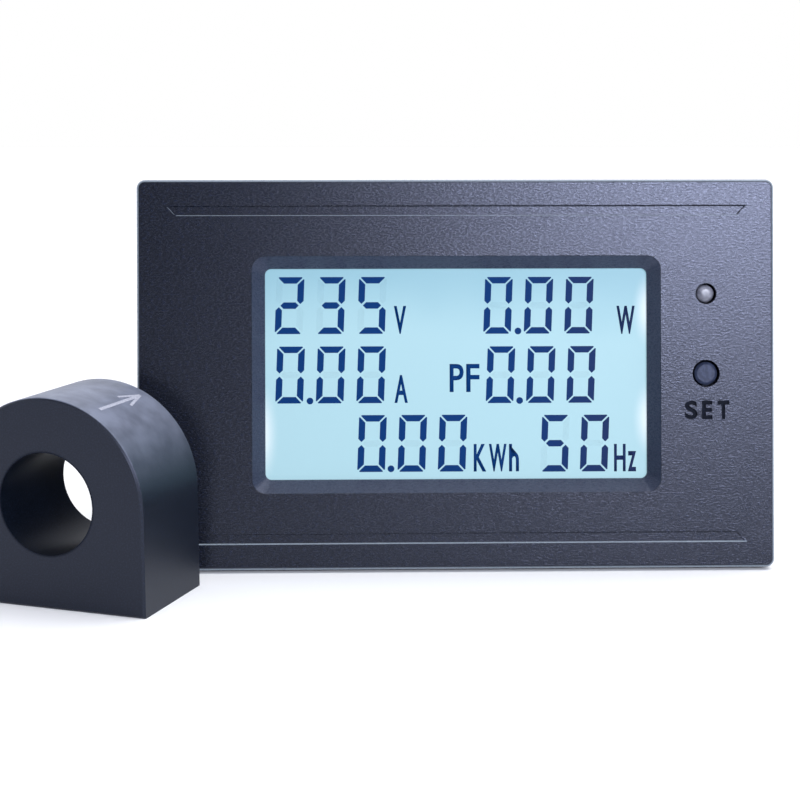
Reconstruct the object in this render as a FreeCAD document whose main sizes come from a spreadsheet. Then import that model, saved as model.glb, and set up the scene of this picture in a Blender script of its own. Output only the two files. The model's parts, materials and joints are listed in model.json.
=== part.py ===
import FreeCAD, Part
import math
import os
import re

import Sketcher
from FreeCAD import Placement, Rotation, Vector

# Panel power meter leaning back on a table, with its ring current transformer standing in front.
# Lengths are millimetres. Meter pieces are drawn in the meter's own axes: X to the right, Y from the
# bezel's front face into the case, Z up, origin at the middle of the bezel face. The transformer's
# pieces are drawn with Y from its front face along the bore and Z up from its base.

doc = FreeCAD.newDocument("PanelPowerMeter")
sheet = doc.addObject("Spreadsheet::Sheet", "Sizes")

SIZES = {
    # Bezel and case
    "bezel_thickness": 3.5,
    "bezel_corner": 1.2,
    "bezel_edge_round": 0.5,
    "bezel_overlap": 2.5,
    "cutout_gap": 0.25,
    "case_depth": 24.5,
    "case_corner": 1.6,
    "inside_corner": 0.8,
    "wall": 2.0,
    "front_wall": 2.5,
    "side_room": 9.25,
    "end_room": 2.3,
    # Window
    "window_width": 54.4,
    "window_height": 30.0,
    "window_corner": 0.9,
    "bevel_side": 1.7,
    "bevel_end": 1.75,
    "recess_corner": 2.0,
    "recess_depth": 2.1,
    # Trim lines above and below the window
    "line_margin": 3.8,
    "line_inset": 4.3,
    "line_width": 1.2,
    "line_slant": 1.1,
    "line_depth": 0.25,
    # Indicator and button column
    "column_gap": 4.3,
    "lens_drop": 3.7,
    "lens_diameter": 2.7,
    "lens_gap": 0.1,
    "lens_recess": 0.4,
    "lens_length": 4.6,
    "lens_flange_diameter": 3.5,
    "lens_flange": 0.8,
    "dome_round": 0.7,
    "dome_shoulder": 0.2,
    "lead_side": 0.5,
    "lead_spacing": 1.3,
    "lead_slot": 0.9,
    "button_diameter": 3.2,
    "button_gap": 0.3,
    "button_chamfer": 0.35,
    "button_recess": 0.1,
    "button_clearance": 0.2,
    "button_flange_diameter": 5.0,
    "button_flange": 1.0,
    "button_stem_diameter": 2.4,
    "button_travel": 0.25,
    # Tact switch
    "switch_side": 6.0,
    "switch_height": 3.5,
    "plunger_diameter": 3.5,
    "plunger_gap": 0.06,
    "plunger_rise": 1.0,
    "plunger_seat": 0.9,
    # Display
    "polariser": 0.2,
    "glass": 0.7,
    "glass_side": 2.0,
    "glass_end": 3.5,
    "ledge": 2.5,
    "optic_side": 1.8,
    "optic_end": 1.0,
    "front_polariser_margin": 1.0,
    "diffuser": 0.2,
    "light_guide": 2.5,
    "reflector": 0.15,
    "optic_gap": 0.2,
    "seat_gap": 0.1,
    "backlight_width": 3.4,
    "backlight_thickness": 1.2,
    "backlight_spread": 8.0,
    "backlight_pin": 0.5,
    "carrier_wall": 1.35,
    "carrier_floor": 1.2,
    "carrier_foot": 1.15,
    "carrier_web": 0.8,
    "strip_thickness": 2.0,
    "strip_inset": 1.7,
    "strip_gap": 0.1,
    "rib": 0.8,
    "rib_depth": 1.5,
    "rib_gap": 0.2,
    # Board and its fixings
    "board": 1.6,
    "board_gap": 0.5,
    "tall_gap": 0.9,
    "board_boss_side": 2.45,
    "board_boss_end": 7.75,
    "board_boss_width": 4.4,
    "board_screw_diameter": 1.9,
    "board_screw_head": 3.8,
    "board_screw_head_height": 1.4,
    "board_screw_length": 5.0,
    "board_hole_gap": 0.2,
    "cover_boss_inset": 2.65,
    "cover_boss_side": 5.2,
    "screw_gap": 0.05,
    "notch_gap": 0.4,
    # Back cover and its screws
    "cover_plate": 2.0,
    "cover_edge": 0.5,
    "lip_depth": 1.5,
    "lip_wall": 1.2,
    "lip_gap": 0.1,
    "boss_relief": 0.3,
    "cover_screw_diameter": 2.2,
    "cover_screw_length": 8.0,
    "cover_screw_head": 4.6,
    "cover_screw_head_height": 1.1,
    "cover_bore_diameter": 5.0,
    "cover_bore_depth": 1.2,
    "cover_hole_diameter": 2.8,
    "cross_width": 0.5,
    "cross_depth": 0.6,
    "pilot_runout": 1.0,
    # Snap tabs in the side walls
    "tab_width": 10.0,
    "tab_end": 4.5,
    "tab_slot": 0.8,
    "barb_width": 8.0,
    "barb_reach": 1.6,
    "barb_land": 0.8,
    "barb_run": 8.0,
    "panel_gap": 2.1,
    # Terminals
    "pole_spacing": 9.0,
    "barrier": 1.6,
    "block_height": 14.5,
    "block_wall": 1.0,
    "block_clearance": 0.35,
    "block_recess": 0.2,
    "aperture_gap": 0.3,
    "plate_rise": 5.1,
    "plate": 1.0,
    "plate_gap": 0.1,
    "pin_side": 1.0,
    "pin_slot": 1.4,
    "screw_drop": 3.3,
    "terminal_screw_diameter": 2.9,
    "terminal_screw_length": 4.6,
    "terminal_head_diameter": 5.5,
    "terminal_head_height": 2.0,
    "terminal_slot": 0.8,
    "thread_gap": 0.05,
    "shank_gap": 0.3,
    "washer": 1.0,
    "washer_width": 6.8,
    "washer_height": 6.0,
    "washer_hole_gap": 0.2,
    # Ring current transformer
    "ring_width": 28.0,
    "ring_depth": 15.4,
    "ring_side": 7.2,
    "ring_wall": 1.2,
    "ring_tube": 1.0,
    "ring_edge": 0.3,
    "ring_angle": 19.3,
    "ring_x": -53.9,
    "ring_y": -15.1,
    "core_length": 8.0,
    "core_room": 0.45,
    "winding_wrap": 0.6,
    "winding_gap": 0.05,
    "winding_angle": 345.0,
    "potting_gap": 0.2,
    "resin_recess": 0.4,
    "bush_inset": 3.4,
    "bush_rise": 3.0,
    "bush_diameter": 5.0,
    "bush_collar": 1.0,
    "bush_nose_diameter": 3.8,
    "bush_nose": 1.6,
    "lead_hole": 2.6,
}

# Lengths that follow from the driving sizes, each written once
DERIVED = {
    "recess_width": "window_width + 2 * bevel_side",
    "recess_height": "window_height + 2 * bevel_end",
    "optic_width": "window_width + 2 * optic_side",
    "optic_height": "window_height + 2 * optic_end",
    "glass_width": "optic_width + 2 * glass_side",
    "glass_height": "optic_height + 2 * glass_end",
    "inside_width": "glass_width + 2 * side_room",
    "inside_height": "carrier_height + 2 * end_room",
    "case_width": "inside_width + 2 * wall",
    "case_height": "inside_height + 2 * wall",
    "cutout_width": "case_width + 2 * cutout_gap",
    "cutout_height": "case_height + 2 * cutout_gap",
    "bezel_width": "cutout_width + 2 * bezel_overlap",
    "bezel_height": "cutout_height + 2 * bezel_overlap",
    "line_long": "bezel_width - 2 * line_inset",
    "line_short": "line_long - 2 * line_slant",
    "line_outer_height": "bezel_height / 2 - line_margin",
    "line_inner_height": "line_outer_height - line_width",
    "column_offset": "glass_width / 2 + column_gap",
    "lens_height": "window_height / 2 - lens_drop",
    "rim": "case_depth - cover_plate",
    "lens_hole": "lens_diameter + 2 * lens_gap",
    "lens_rear": "lens_recess + lens_length",
    "lead_front": "lens_rear + lens_flange",
    "button_hole": "button_diameter + 2 * button_gap",
    "button_flange_front": "front_wall + button_clearance",
    "button_flange_rear": "button_flange_front + button_flange",
    "switch_top": "board_front - switch_height",
    "plunger_top": "switch_top - plunger_rise",
    "glass_front": "front_wall + polariser",
    "glass_middle": "glass_front + glass",
    "glass_rear": "glass_middle + glass",
    "diffuser_front": "glass_rear + polariser",
    "guide_front": "diffuser_front + diffuser",
    "guide_rear": "guide_front + light_guide",
    "reflector_rear": "guide_rear + reflector",
    "rear_glass_height": "glass_height - 2 * ledge",
    "pocket_width": "optic_width + 2 * optic_gap",
    "pocket_height": "optic_height + 2 * optic_gap",
    "strip_inner": "pocket_height / 2 + carrier_web",
    "strip_outer": "strip_inner + strip_thickness",
    "strip_length": "pocket_width - 2 * strip_inset",
    "carrier_width": "glass_width + 2 * (carrier_web - optic_gap - seat_gap)",
    "carrier_height": "2 * (strip_outer + strip_gap + carrier_wall)",
    "backlight_face": "pocket_width / 2 - backlight_thickness",
    "carrier_rear": "reflector_rear + carrier_floor",
    "board_front": "carrier_rear + carrier_foot",
    "board_rear": "board_front + board",
    "tall_height": "rim - board_rear - tall_gap",
    "board_width": "inside_width - 2 * board_gap",
    "board_height": "inside_height - 2 * board_gap",
    "board_boss_x": "inside_width / 2 - board_boss_side",
    "board_boss_z": "inside_height / 2 - board_boss_end",
    "board_pilot": "board_screw_diameter + 2 * screw_gap",
    "cover_boss_x": "inside_width / 2 - cover_boss_inset",
    "cover_boss_z": "inside_height / 2 - cover_boss_inset",
    "cover_pilot": "cover_screw_diameter + 2 * screw_gap",
    "cover_head_seat": "case_depth - cover_bore_depth",
    "tab_front": "bezel_thickness + panel_gap",
    "tab_root": "rim - tab_end",
    "block_width": "4 * pole_spacing + barrier",
    "block_bottom": "-inside_height / 2 + block_clearance",
    "block_top": "block_bottom + block_height",
    "block_rear": "case_depth - block_recess",
    "chamber_width": "pole_spacing - barrier",
    "chamber_bottom": "block_bottom + block_wall",
    "chamber_top": "block_top - block_wall",
    "plate_front": "board_rear + plate_rise",
    "plate_rear": "plate_front + plate",
    "washer_rear": "plate_rear + washer",
    "terminal_height": "chamber_top - screw_drop",
    "shank_pocket": "terminal_screw_diameter + 2 * shank_gap",
    "ring_centre": "ring_width / 2",
    "ring_bore": "ring_width - 2 * ring_side",
    "ring_tube_outer": "ring_bore + 2 * ring_tube",
    "ring_inside": "ring_width - 2 * ring_wall",
    "core_inner": "ring_tube_outer + 2 * (potting_gap + winding_wrap + winding_gap)",
    "core_outer": "ring_inside - 2 * (winding_gap + winding_wrap + core_room)",
    "winding_front": "ring_wall + potting_gap",
    "core_front": "winding_front + winding_wrap + winding_gap",
    "core_rear": "core_front + core_length",
    "winding_rear": "core_rear + winding_gap + winding_wrap",
    "resin_rear": "ring_depth - resin_recess",
    "bush_x": "bush_inset - ring_inside / 2",
    "bush_height": "ring_wall + bush_rise",
}

for row, (name, value) in enumerate(SIZES.items(), start=1):
    sheet.set("A%d" % row, name)
    sheet.set("B%d" % row, str(value))
    sheet.setAlias("B%d" % row, name)
doc.recompute()


def bound(expression):
    """Write an expression of size names so that every name is a cell of the sheet."""
    def cell(match):
        word = match.group(0)
        if word in DERIVED:
            return "(" + bound(DERIVED[word]) + ")"
        return "Sizes." + word
    return re.sub(r"[a-z][a-z_]+", cell, str(expression))


def number(expression):
    """Work an expression of size names out."""
    return float(sheet.evalExpression(bound(expression)))


# Sketch outlines. Each draws its lines and gives the rules that hold them: pairs of a constraint and
# the expression that it is bound to, or None.

def rule(kind, *geometry):
    """A constraint that has no size."""
    return Sketcher.Constraint(kind, *geometry), None


def hold(kind, geometry, point, expression):
    """Give one point a distance from the sketch's origin, along one axis."""
    return Sketcher.Constraint(kind, -1, 1, geometry, point, number(expression)), expression


def place(geometry, point, x, y):
    """Hold one point of a sketch at expressions x and y from the sketch's origin."""
    return [hold("DistanceX", geometry, point, x), hold("DistanceY", geometry, point, y)]


def straight(sketch, outline):
    """Draw a closed outline of straight sides through points given as expressions."""
    first = sketch.GeometryCount
    points = [Vector(number(x), number(y), 0) for x, y in outline]
    count = len(points)
    sketch.addGeometry([Part.LineSegment(points[i], points[(i + 1) % count])
                        for i in range(count)])
    rules = [rule("Coincident", first + i, 2, first + (i + 1) % count, 1) for i in range(count)]
    for i, (x, y) in enumerate(outline):
        rules += place(first + i, 1, x, y)
    return rules


def corners(left, bottom, right, top):
    """Give the corners of an upright rectangle."""
    return [(left, bottom), (right, bottom), (right, top), (left, top)]


def rectangle(left, bottom, right, top):
    return lambda sketch: straight(sketch, corners(left, bottom, right, top))


def centred(width, height):
    """A rectangle about the sketch's origin."""
    half_width = "(%s) / 2" % width
    half_height = "(%s) / 2" % height
    return rectangle("-" + half_width, "-" + half_height, half_width, half_height)


def about(x, z, width, height):
    """A rectangle about a point."""
    return rectangle("(%s) - (%s) / 2" % (x, width), "(%s) - (%s) / 2" % (z, height),
                     "(%s) + (%s) / 2" % (x, width), "(%s) + (%s) / 2" % (z, height))


def polygon(*points):
    return lambda sketch: straight(sketch, list(points))


def disc(x, z, diameter):
    """A circle about a point."""
    def draw(sketch):
        centre = Vector(number(x), number(z), 0)
        circle = sketch.addGeometry(Part.Circle(centre, Vector(0, 0, 1), number(diameter) / 2))
        measure = Sketcher.Constraint("Diameter", circle, number(diameter))
        return place(circle, 3, x, z) + [(measure, diameter)]
    return draw


def rounded(width, height, radius):
    """A rectangle about the sketch's origin with round corners."""
    def draw(sketch):
        half_width = number(width) / 2
        half_height = number(height) / 2
        bend = number(radius)
        inner_x = half_width - bend
        inner_y = half_height - bend
        sides = [((-inner_x, -half_height), (inner_x, -half_height)),
                 ((half_width, -inner_y), (half_width, inner_y)),
                 ((inner_x, half_height), (-inner_x, half_height)),
                 ((-half_width, inner_y), (-half_width, -inner_y))]
        first = sketch.GeometryCount
        for start, end in sides:
            sketch.addGeometry(Part.LineSegment(Vector(*start, 0), Vector(*end, 0)))
        centres = [(inner_x, -inner_y), (inner_x, inner_y), (-inner_x, inner_y), (-inner_x, -inner_y)]
        for turn, centre in enumerate(centres):
            circle = Part.Circle(Vector(*centre, 0), Vector(0, 0, 1), bend)
            begin = math.radians(-90 + 90 * turn)
            sketch.addGeometry(Part.ArcOfCircle(circle, begin, begin + math.pi / 2))
        rules = []
        for turn in range(4):
            arc = first + 4 + turn
            following = first + (turn + 1) % 4
            rules += [rule("Tangent", first + turn, 2, arc, 1), rule("Tangent", arc, 2, following, 1)]
        for side, kind in enumerate(("Horizontal", "Vertical", "Horizontal", "Vertical")):
            rules.append(rule(kind, first + side))
        rules += [rule("Equal", first + 4, first + arc) for arc in (5, 6, 7)]
        rules.append((Sketcher.Constraint("Radius", first + 4, bend), radius))
        rules.append(hold("DistanceY", first, 1, "-(%s) / 2" % height))
        rules.append(hold("DistanceX", first + 1, 1, "(%s) / 2" % width))
        rules.append(hold("DistanceY", first + 2, 1, "(%s) / 2" % height))
        rules.append(hold("DistanceX", first + 3, 1, "-(%s) / 2" % width))
        return rules
    return draw


def arch(width, base, centre):
    """A flat base, two upright sides and a half-round top about a height on the Z axis."""
    def draw(sketch):
        half = number(width) / 2
        low = number(base)
        middle = number(centre)
        first = sketch.GeometryCount
        sketch.addGeometry(Part.LineSegment(Vector(-half, low, 0), Vector(half, low, 0)))
        sketch.addGeometry(Part.LineSegment(Vector(half, low, 0), Vector(half, middle, 0)))
        circle = Part.Circle(Vector(0, middle, 0), Vector(0, 0, 1), half)
        sketch.addGeometry(Part.ArcOfCircle(circle, 0, math.pi))
        sketch.addGeometry(Part.LineSegment(Vector(-half, middle, 0), Vector(-half, low, 0)))
        rules = [rule("Coincident", first, 2, first + 1, 1),
                 rule("Tangent", first + 1, 2, first + 2, 1),
                 rule("Tangent", first + 2, 2, first + 3, 1),
                 rule("Coincident", first + 3, 2, first, 1),
                 rule("Horizontal", first),
                 rule("Vertical", first + 1),
                 rule("Vertical", first + 3)]
        rules += place(first, 1, "-(%s) / 2" % width, base)
        rules.append(hold("DistanceX", first, 2, "(%s) / 2" % width))
        rules.append(hold("DistanceY", first + 2, 3, centre))
        return rules
    return draw


# Bodies and their features

def new_body(label):
    body = doc.addObject("PartDesign::Body", label)
    body.Label = label
    return body


def plane(body, role):
    return [feature for feature in body.Origin.OriginFeatures if feature.Role == role][0]


def sketch_on(body, role, offset, shapes):
    """Draw shapes on one of the body's origin planes, moved along that plane's normal."""
    sketch = body.newObject("Sketcher::SketchObject", body.Label + "_sketch")
    sketch.AttachmentSupport = (plane(body, role), [""])
    sketch.MapMode = "FlatFace"
    sketch.setExpression("AttachmentOffset.Base.z", bound(offset))
    for draw in shapes:
        rules = draw(sketch)
        first = sketch.ConstraintCount
        sketch.addConstraint([constraint for constraint, expression in rules])
        for i, (constraint, expression) in enumerate(rules):
            if expression is not None:
                sketch.setExpression("Constraints[%d]" % (first + i), bound(expression))
    return sketch


def add(body, near, far, *shapes):
    """Pad shapes drawn across the depth axis, from one depth to another."""
    sketch = sketch_on(body, "XZ_Plane", "-(%s)" % near, shapes)
    feature = body.newObject("PartDesign::Pad", body.Label + "_pad")
    feature.Profile = sketch
    feature.Reversed = True
    feature.setExpression("Length", bound("(%s) - (%s)" % (far, near)))
    doc.recompute()
    return feature


def cut(body, near, far, *shapes):
    """Pocket shapes drawn across the depth axis, from one depth to another."""
    before = body.Shape.Volume
    sketch = sketch_on(body, "XZ_Plane", "-(%s)" % near, shapes)
    feature = body.newObject("PartDesign::Pocket", body.Label + "_pocket")
    feature.Profile = sketch
    feature.setExpression("Length", bound("(%s) - (%s)" % (far, near)))
    doc.recompute()
    if not body.Shape.Volume < before:
        raise ValueError(body.Label + ": a pocket cut nothing")
    return feature


def across(body, kind, role, length, *shapes):
    """Pad or pocket shapes by half the length to each side of an origin plane."""
    before = body.Shape.Volume
    sketch = sketch_on(body, role, "0", shapes)
    feature = body.newObject("PartDesign::" + kind, body.Label + "_" + kind.lower())
    feature.Profile = sketch
    feature.SideType = "Symmetric"
    feature.setExpression("Length", bound(length))
    doc.recompute()
    if body.Shape.Volume == before:
        raise ValueError(body.Label + ": a feature across the body changed nothing")
    return feature


def turned(body, x, z, *profile):
    """Revolve a profile of (radius, depth) points about a line along the depth axis."""
    sketch = sketch_on(body, "XY_Plane", z, [polygon(*profile)])
    sketch.setExpression("AttachmentOffset.Base.x", bound(x))
    feature = body.newObject("PartDesign::Revolution", body.Label + "_turned")
    feature.Profile = sketch
    feature.ReferenceAxis = (sketch, ["V_Axis"])
    feature.Angle = 360.0
    doc.recompute()
    return feature


def dressed(body, kind, expression, wanted):
    """Fillet or chamfer the edges of the body that wanted() picks."""
    base = body.Tip
    edges = base.Shape.Edges
    names = ["Edge%d" % (i + 1) for i, edge in enumerate(edges) if wanted(edge)]
    if not names:
        raise ValueError(body.Label + ": no edge to dress")
    feature = body.newObject("PartDesign::" + kind, body.Label + "_" + kind.lower())
    feature.Base = (base, names)
    measure = "Radius" if kind == "Fillet" else "Size"
    feature.setExpression(measure, bound(expression))
    doc.recompute()
    return feature


def lies_at(edge, depth):
    """Say whether a whole edge lies at one depth."""
    box = edge.BoundBox
    return abs(box.YMin - depth) < SAME and abs(box.YMax - depth) < SAME


def reaches(edge, half_width, half_height):
    """Say whether an edge is part of an outline of this half width and half height."""
    box = edge.BoundBox
    touches_side = max(abs(box.XMin), abs(box.XMax)) > half_width - SAME
    touches_end = max(abs(box.ZMin), abs(box.ZMax)) > half_height - SAME
    return touches_side or touches_end


# Two lengths that differ by less count as the same
SAME = 0.001

# Screws hold the cover in one pair of opposite corners and the board in the other pair
COVER_CORNERS = [(1, 1), (-1, -1)]
BOARD_CORNERS = [(-1, 1), (1, -1)]


def cover_discs(diameter):
    """Circles on the axes of the cover screws."""
    return [disc("%d * cover_boss_x" % i, "%d * cover_boss_z" % k, diameter)
            for i, k in COVER_CORNERS]


def board_discs(diameter):
    """Circles on the axes of the board screws."""
    return [disc("%d * board_boss_x" % i, "%d * board_boss_z" % k, diameter)
            for i, k in BOARD_CORNERS]


def board_blocks():
    """The outlines of the square pillars that carry the board."""
    return [about("%d * board_boss_x" % i, "%d * board_boss_z" % k, "board_boss_width",
                  "board_boss_width") for i, k in BOARD_CORNERS]


def corner_blocks(extra):
    """The outlines of the square pillars that take the cover screws, grown by a gap."""
    outlines = []
    for i, k in COVER_CORNERS:
        inner_x = "%d * (cover_boss_x - cover_boss_side / 2 - %s)" % (i, extra)
        inner_z = "%d * (cover_boss_z - cover_boss_side / 2 - %s)" % (k, extra)
        outer_x = "%d * (case_width / 2 - wall / 2)" % i
        outer_z = "%d * (case_height / 2 - wall / 2)" % k
        outlines.append(rectangle(inner_x, inner_z, outer_x, outer_z))
    return outlines


def pole_offset(pole):
    """Give the sideways place of a terminal, counted 1 to 4 from the left."""
    return "%.1f * pole_spacing" % (pole - 2.5)


POLES = (1, 2, 3, 4)


# Front shell: bezel and case in one moulding

def trim_line(side):
    """The shallow recess above (1) or below (-1) the window: a long outer and a short inner edge."""
    outer = "%d * line_outer_height" % side
    inner = "%d * line_inner_height" % side
    return polygon(("-line_long / 2", outer), ("line_long / 2", outer),
                   ("line_short / 2", inner), ("-line_short / 2", inner))


def tab_slot():
    """The U cut round a snap tab, drawn as depth and height."""
    far = "tab_front - tab_slot"
    half = "tab_width / 2"
    wide = "(tab_width / 2 + tab_slot)"
    return polygon((far, "-" + wide), ("tab_root", "-" + wide), ("tab_root", "-" + half),
                   ("tab_front", "-" + half), ("tab_front", half), ("tab_root", half),
                   ("tab_root", wide), (far, wide))


def barb(side):
    """The wedge on a snap tab, drawn as width and depth, on the right (1) or left (-1)."""
    root = "%d * (case_width / 2 - wall / 2)" % side
    crest = "%d * (case_width / 2 + barb_reach)" % side
    skin = "%d * case_width / 2" % side
    land = "tab_front + barb_land"
    run = "tab_front + barb_run"
    return polygon((root, "tab_front"), (crest, "tab_front"), (crest, land), (skin, run), (root, run))


def front_shell():
    body = new_body("front_shell")
    add(body, "0", "bezel_thickness", rounded("bezel_width", "bezel_height", "bezel_corner"))
    add(body, "bezel_thickness", "rim", rounded("case_width", "case_height", "case_corner"))
    cut(body, "front_wall", "rim", rounded("inside_width", "inside_height", "inside_corner"))
    add(body, "front_wall", "rim", *corner_blocks("0"))
    add(body, "front_wall", "board_front", *board_blocks())
    add(body, "front_wall", "front_wall + rib_depth",
        centred("glass_width + 2 * rib_gap + 2 * rib", "glass_height + 2 * rib_gap + 2 * rib"),
        centred("glass_width + 2 * rib_gap", "glass_height + 2 * rib_gap"))
    cut(body, "cover_head_seat - cover_screw_length - pilot_runout", "rim",
        *cover_discs("cover_pilot"))
    cut(body, "board_rear - board_screw_length", "board_front", *board_discs("board_pilot"))
    cut(body, "0", "front_wall", disc("column_offset", "lens_height", "lens_hole"),
        disc("column_offset", "0", "button_hole"))
    cut(body, "recess_depth", "front_wall",
        rounded("window_width", "window_height", "window_corner"))
    window_bevel(body)
    cut(body, "0", "line_depth", trim_line(1), trim_line(-1))
    across(body, "Pocket", "YZ_Plane", "case_width + 2 * wall", tab_slot())
    across(body, "Pad", "XY_Plane", "barb_width", barb(1), barb(-1))
    half_width = number("bezel_width / 2 - bezel_corner")
    half_height = number("bezel_height / 2 - bezel_corner")
    dressed(body, "Fillet", "bezel_edge_round",
            lambda edge: lies_at(edge, 0) and reaches(edge, half_width, half_height))
    return body


def window_bevel(body):
    """The sloped recess round the window, lofted from the bezel face to the window's own outline."""
    before = body.Shape.Volume
    outer = sketch_on(body, "XZ_Plane", "0", [rounded("recess_width", "recess_height",
                                                      "recess_corner")])
    inner = sketch_on(body, "XZ_Plane", "-recess_depth", [rounded("window_width", "window_height",
                                                                  "window_corner")])
    feature = body.newObject("PartDesign::SubtractiveLoft", "front_shell_bevel")
    feature.Profile = outer
    feature.Sections = [inner]
    feature.Ruled = True
    doc.recompute()
    if not body.Shape.Volume < before:
        raise ValueError("the window bevel cut nothing")


# Button, switch and indicator

def set_button():
    body = new_body("set_button")
    rim = "button_recess + button_chamfer"
    half = "button_diameter / 2"
    turned(body, "column_offset", "0",
           ("0", "button_recess"), (half + " - button_chamfer", "button_recess"), (half, rim),
           (half, "button_flange_front"), ("button_flange_diameter / 2", "button_flange_front"),
           ("button_flange_diameter / 2", "button_flange_rear"),
           ("button_stem_diameter / 2", "button_flange_rear"),
           ("button_stem_diameter / 2", "plunger_top"), ("0", "plunger_top"))
    return body


def switch_body():
    body = new_body("switch_body")
    add(body, "switch_top", "board_front",
        about("column_offset", "0", "switch_side", "switch_side"))
    cut(body, "switch_top", "switch_top + plunger_seat + button_travel + plunger_gap",
        disc("column_offset", "0", "plunger_diameter + 2 * plunger_gap"))
    return body


def switch_plunger():
    body = new_body("switch_plunger")
    add(body, "plunger_top", "switch_top + plunger_seat",
        disc("column_offset", "0", "plunger_diameter"))
    return body


def indicator_lens():
    """A domed lens over a flange: the dome's curve is stepped at its shoulder."""
    body = new_body("indicator_lens")
    half = "lens_diameter / 2"
    flange = "lens_flange_diameter / 2"
    turned(body, "column_offset", "lens_height",
           ("0", "lens_recess"), (half + " - dome_round", "lens_recess"),
           (half + " - dome_shoulder", "lens_recess + dome_shoulder"),
           (half, "lens_recess + dome_round"), (half, "lens_rear"), (flange, "lens_rear"),
           (flange, "lead_front"), ("0", "lead_front"))
    return body


def lead_places():
    return [("column_offset", "lens_height + %d * lead_spacing" % side) for side in (-1, 1)]


def indicator_leads():
    body = new_body("indicator_leads")
    add(body, "lead_front", "board_rear + lead_side",
        *[about(x, z, "lead_side", "lead_side") for x, z in lead_places()])
    return body


# Display stack, front to rear

def sheet_piece(label, near, far, width, height):
    body = new_body(label)
    add(body, near, far, centred(width, height))
    return body


BACKLIGHTS = [(side, row) for side in (1, -1) for row in (1, -1)]


def backlight_site(side, row, extra):
    """The outline of one backlight at a side edge, grown by a gap."""
    face = "(backlight_face - %s)" % extra
    edge = "(pocket_width / 2)"
    low = "(%d * backlight_spread - backlight_width / 2 - %s)" % (row, extra)
    high = "(%d * backlight_spread + backlight_width / 2 + %s)" % (row, extra)
    if side > 0:
        return rectangle(face, low, edge, high)
    return rectangle("-" + edge, low, "-" + face, high)


def light_guide():
    body = sheet_piece("light_guide", "guide_front", "guide_rear", "optic_width", "optic_height")
    cut(body, "guide_front", "guide_rear",
        *[backlight_site(side, row, "seat_gap") for side, row in BACKLIGHTS])
    return body


def backlight_pins():
    places = []
    for side, row in BACKLIGHTS:
        x = "%d * (pocket_width / 2 - backlight_thickness / 2)" % side
        for foot in (-1, 1):
            places.append((x, "%d * backlight_spread + %d * backlight_width / 4" % (row, foot)))
    return places


def backlight_leds():
    body = new_body("backlight_leds")
    add(body, "guide_front", "guide_rear - backlight_pin / 2",
        *[backlight_site(side, row, "0") for side, row in BACKLIGHTS])
    add(body, "guide_rear - backlight_pin / 2", "board_front",
        *[about(x, z, "backlight_pin", "backlight_pin") for x, z in backlight_pins()])
    return body


def strip_outline(side, extra):
    low = "%d * (strip_inner - %s)" % (side, extra)
    high = "%d * (strip_outer + %s)" % (side, extra)
    half = "(strip_length / 2 + %s)" % extra
    return rectangle("-" + half, low, half, high)


def lcd_carrier():
    body = new_body("lcd_carrier")
    add(body, "glass_rear", "board_front", centred("carrier_width", "carrier_height"))
    cut(body, "glass_rear", "reflector_rear", centred("pocket_width", "pocket_height"))
    cut(body, "carrier_rear", "board_front", centred("pocket_width", "pocket_height"))
    cut(body, "glass_rear", "board_front",
        strip_outline(1, "strip_gap"), strip_outline(-1, "strip_gap"))
    cut(body, "reflector_rear", "carrier_rear",
        *[about(x, z, "2 * backlight_pin", "2 * backlight_pin") for x, z in backlight_pins()])
    return body


def reflector_film():
    body = sheet_piece("reflector_film", "guide_rear", "reflector_rear",
                       "optic_width - 2 * backlight_thickness", "optic_height")
    return body


def contact_strips():
    body = new_body("contact_strips")
    add(body, "glass_middle", "board_front", strip_outline(1, "0"), strip_outline(-1, "0"))
    return body


# Board and what is soldered to it

def board_notches():
    """Corner notches round the screw pillars and side notches behind the snap tabs."""
    notches = corner_blocks("notch_gap")
    for i in (1, -1):
        edge = "%d * (inside_width / 2 - barb_reach - notch_gap)" % i
        outside = "%d * board_width" % i
        half = "(tab_width / 2 + tab_slot + notch_gap)"
        notches.append(polygon((edge, "-" + half), (outside, "-" + half), (outside, half),
                               (edge, half)))
    return notches


def pin_place(pole):
    return pole_offset(pole), "chamber_bottom + pin_side"


def main_board():
    body = sheet_piece("main_board", "board_front", "board_rear", "board_width", "board_height")
    cut(body, "board_front", "board_rear", *board_notches())
    holes = board_discs("board_screw_diameter + 2 * board_hole_gap")
    holes += [about(x, z, "lead_slot", "lead_slot") for x, z in lead_places()]
    holes += [about(*pin_place(pole), "pin_slot", "pin_slot") for pole in POLES]
    cut(body, "board_front", "board_rear", *holes)
    return body


def screw_set(label, corners_held, x, z, seat, head, head_height, shank, length):
    """Cylinder-head screws driven in from the rear."""
    body = new_body(label)
    tip = "(%s) - (%s)" % (seat, length)
    top = "(%s) + (%s)" % (seat, head_height)
    for i, k in corners_held:
        place_x = "%d * (%s)" % (i, x)
        place_z = "%d * (%s)" % (k, z)
        turned(body, place_x, place_z,
               ("0", tip), ("(%s) / 2" % shank, tip), ("(%s) / 2" % shank, seat),
               ("(%s) / 2" % head, seat), ("(%s) / 2" % head, top), ("0", top))
    return body


def board_screws():
    return screw_set("board_screws", BOARD_CORNERS, "board_boss_x", "board_boss_z", "board_rear",
                     "board_screw_head", "board_screw_head_height", "board_screw_diameter",
                     "board_screw_length")


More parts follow.
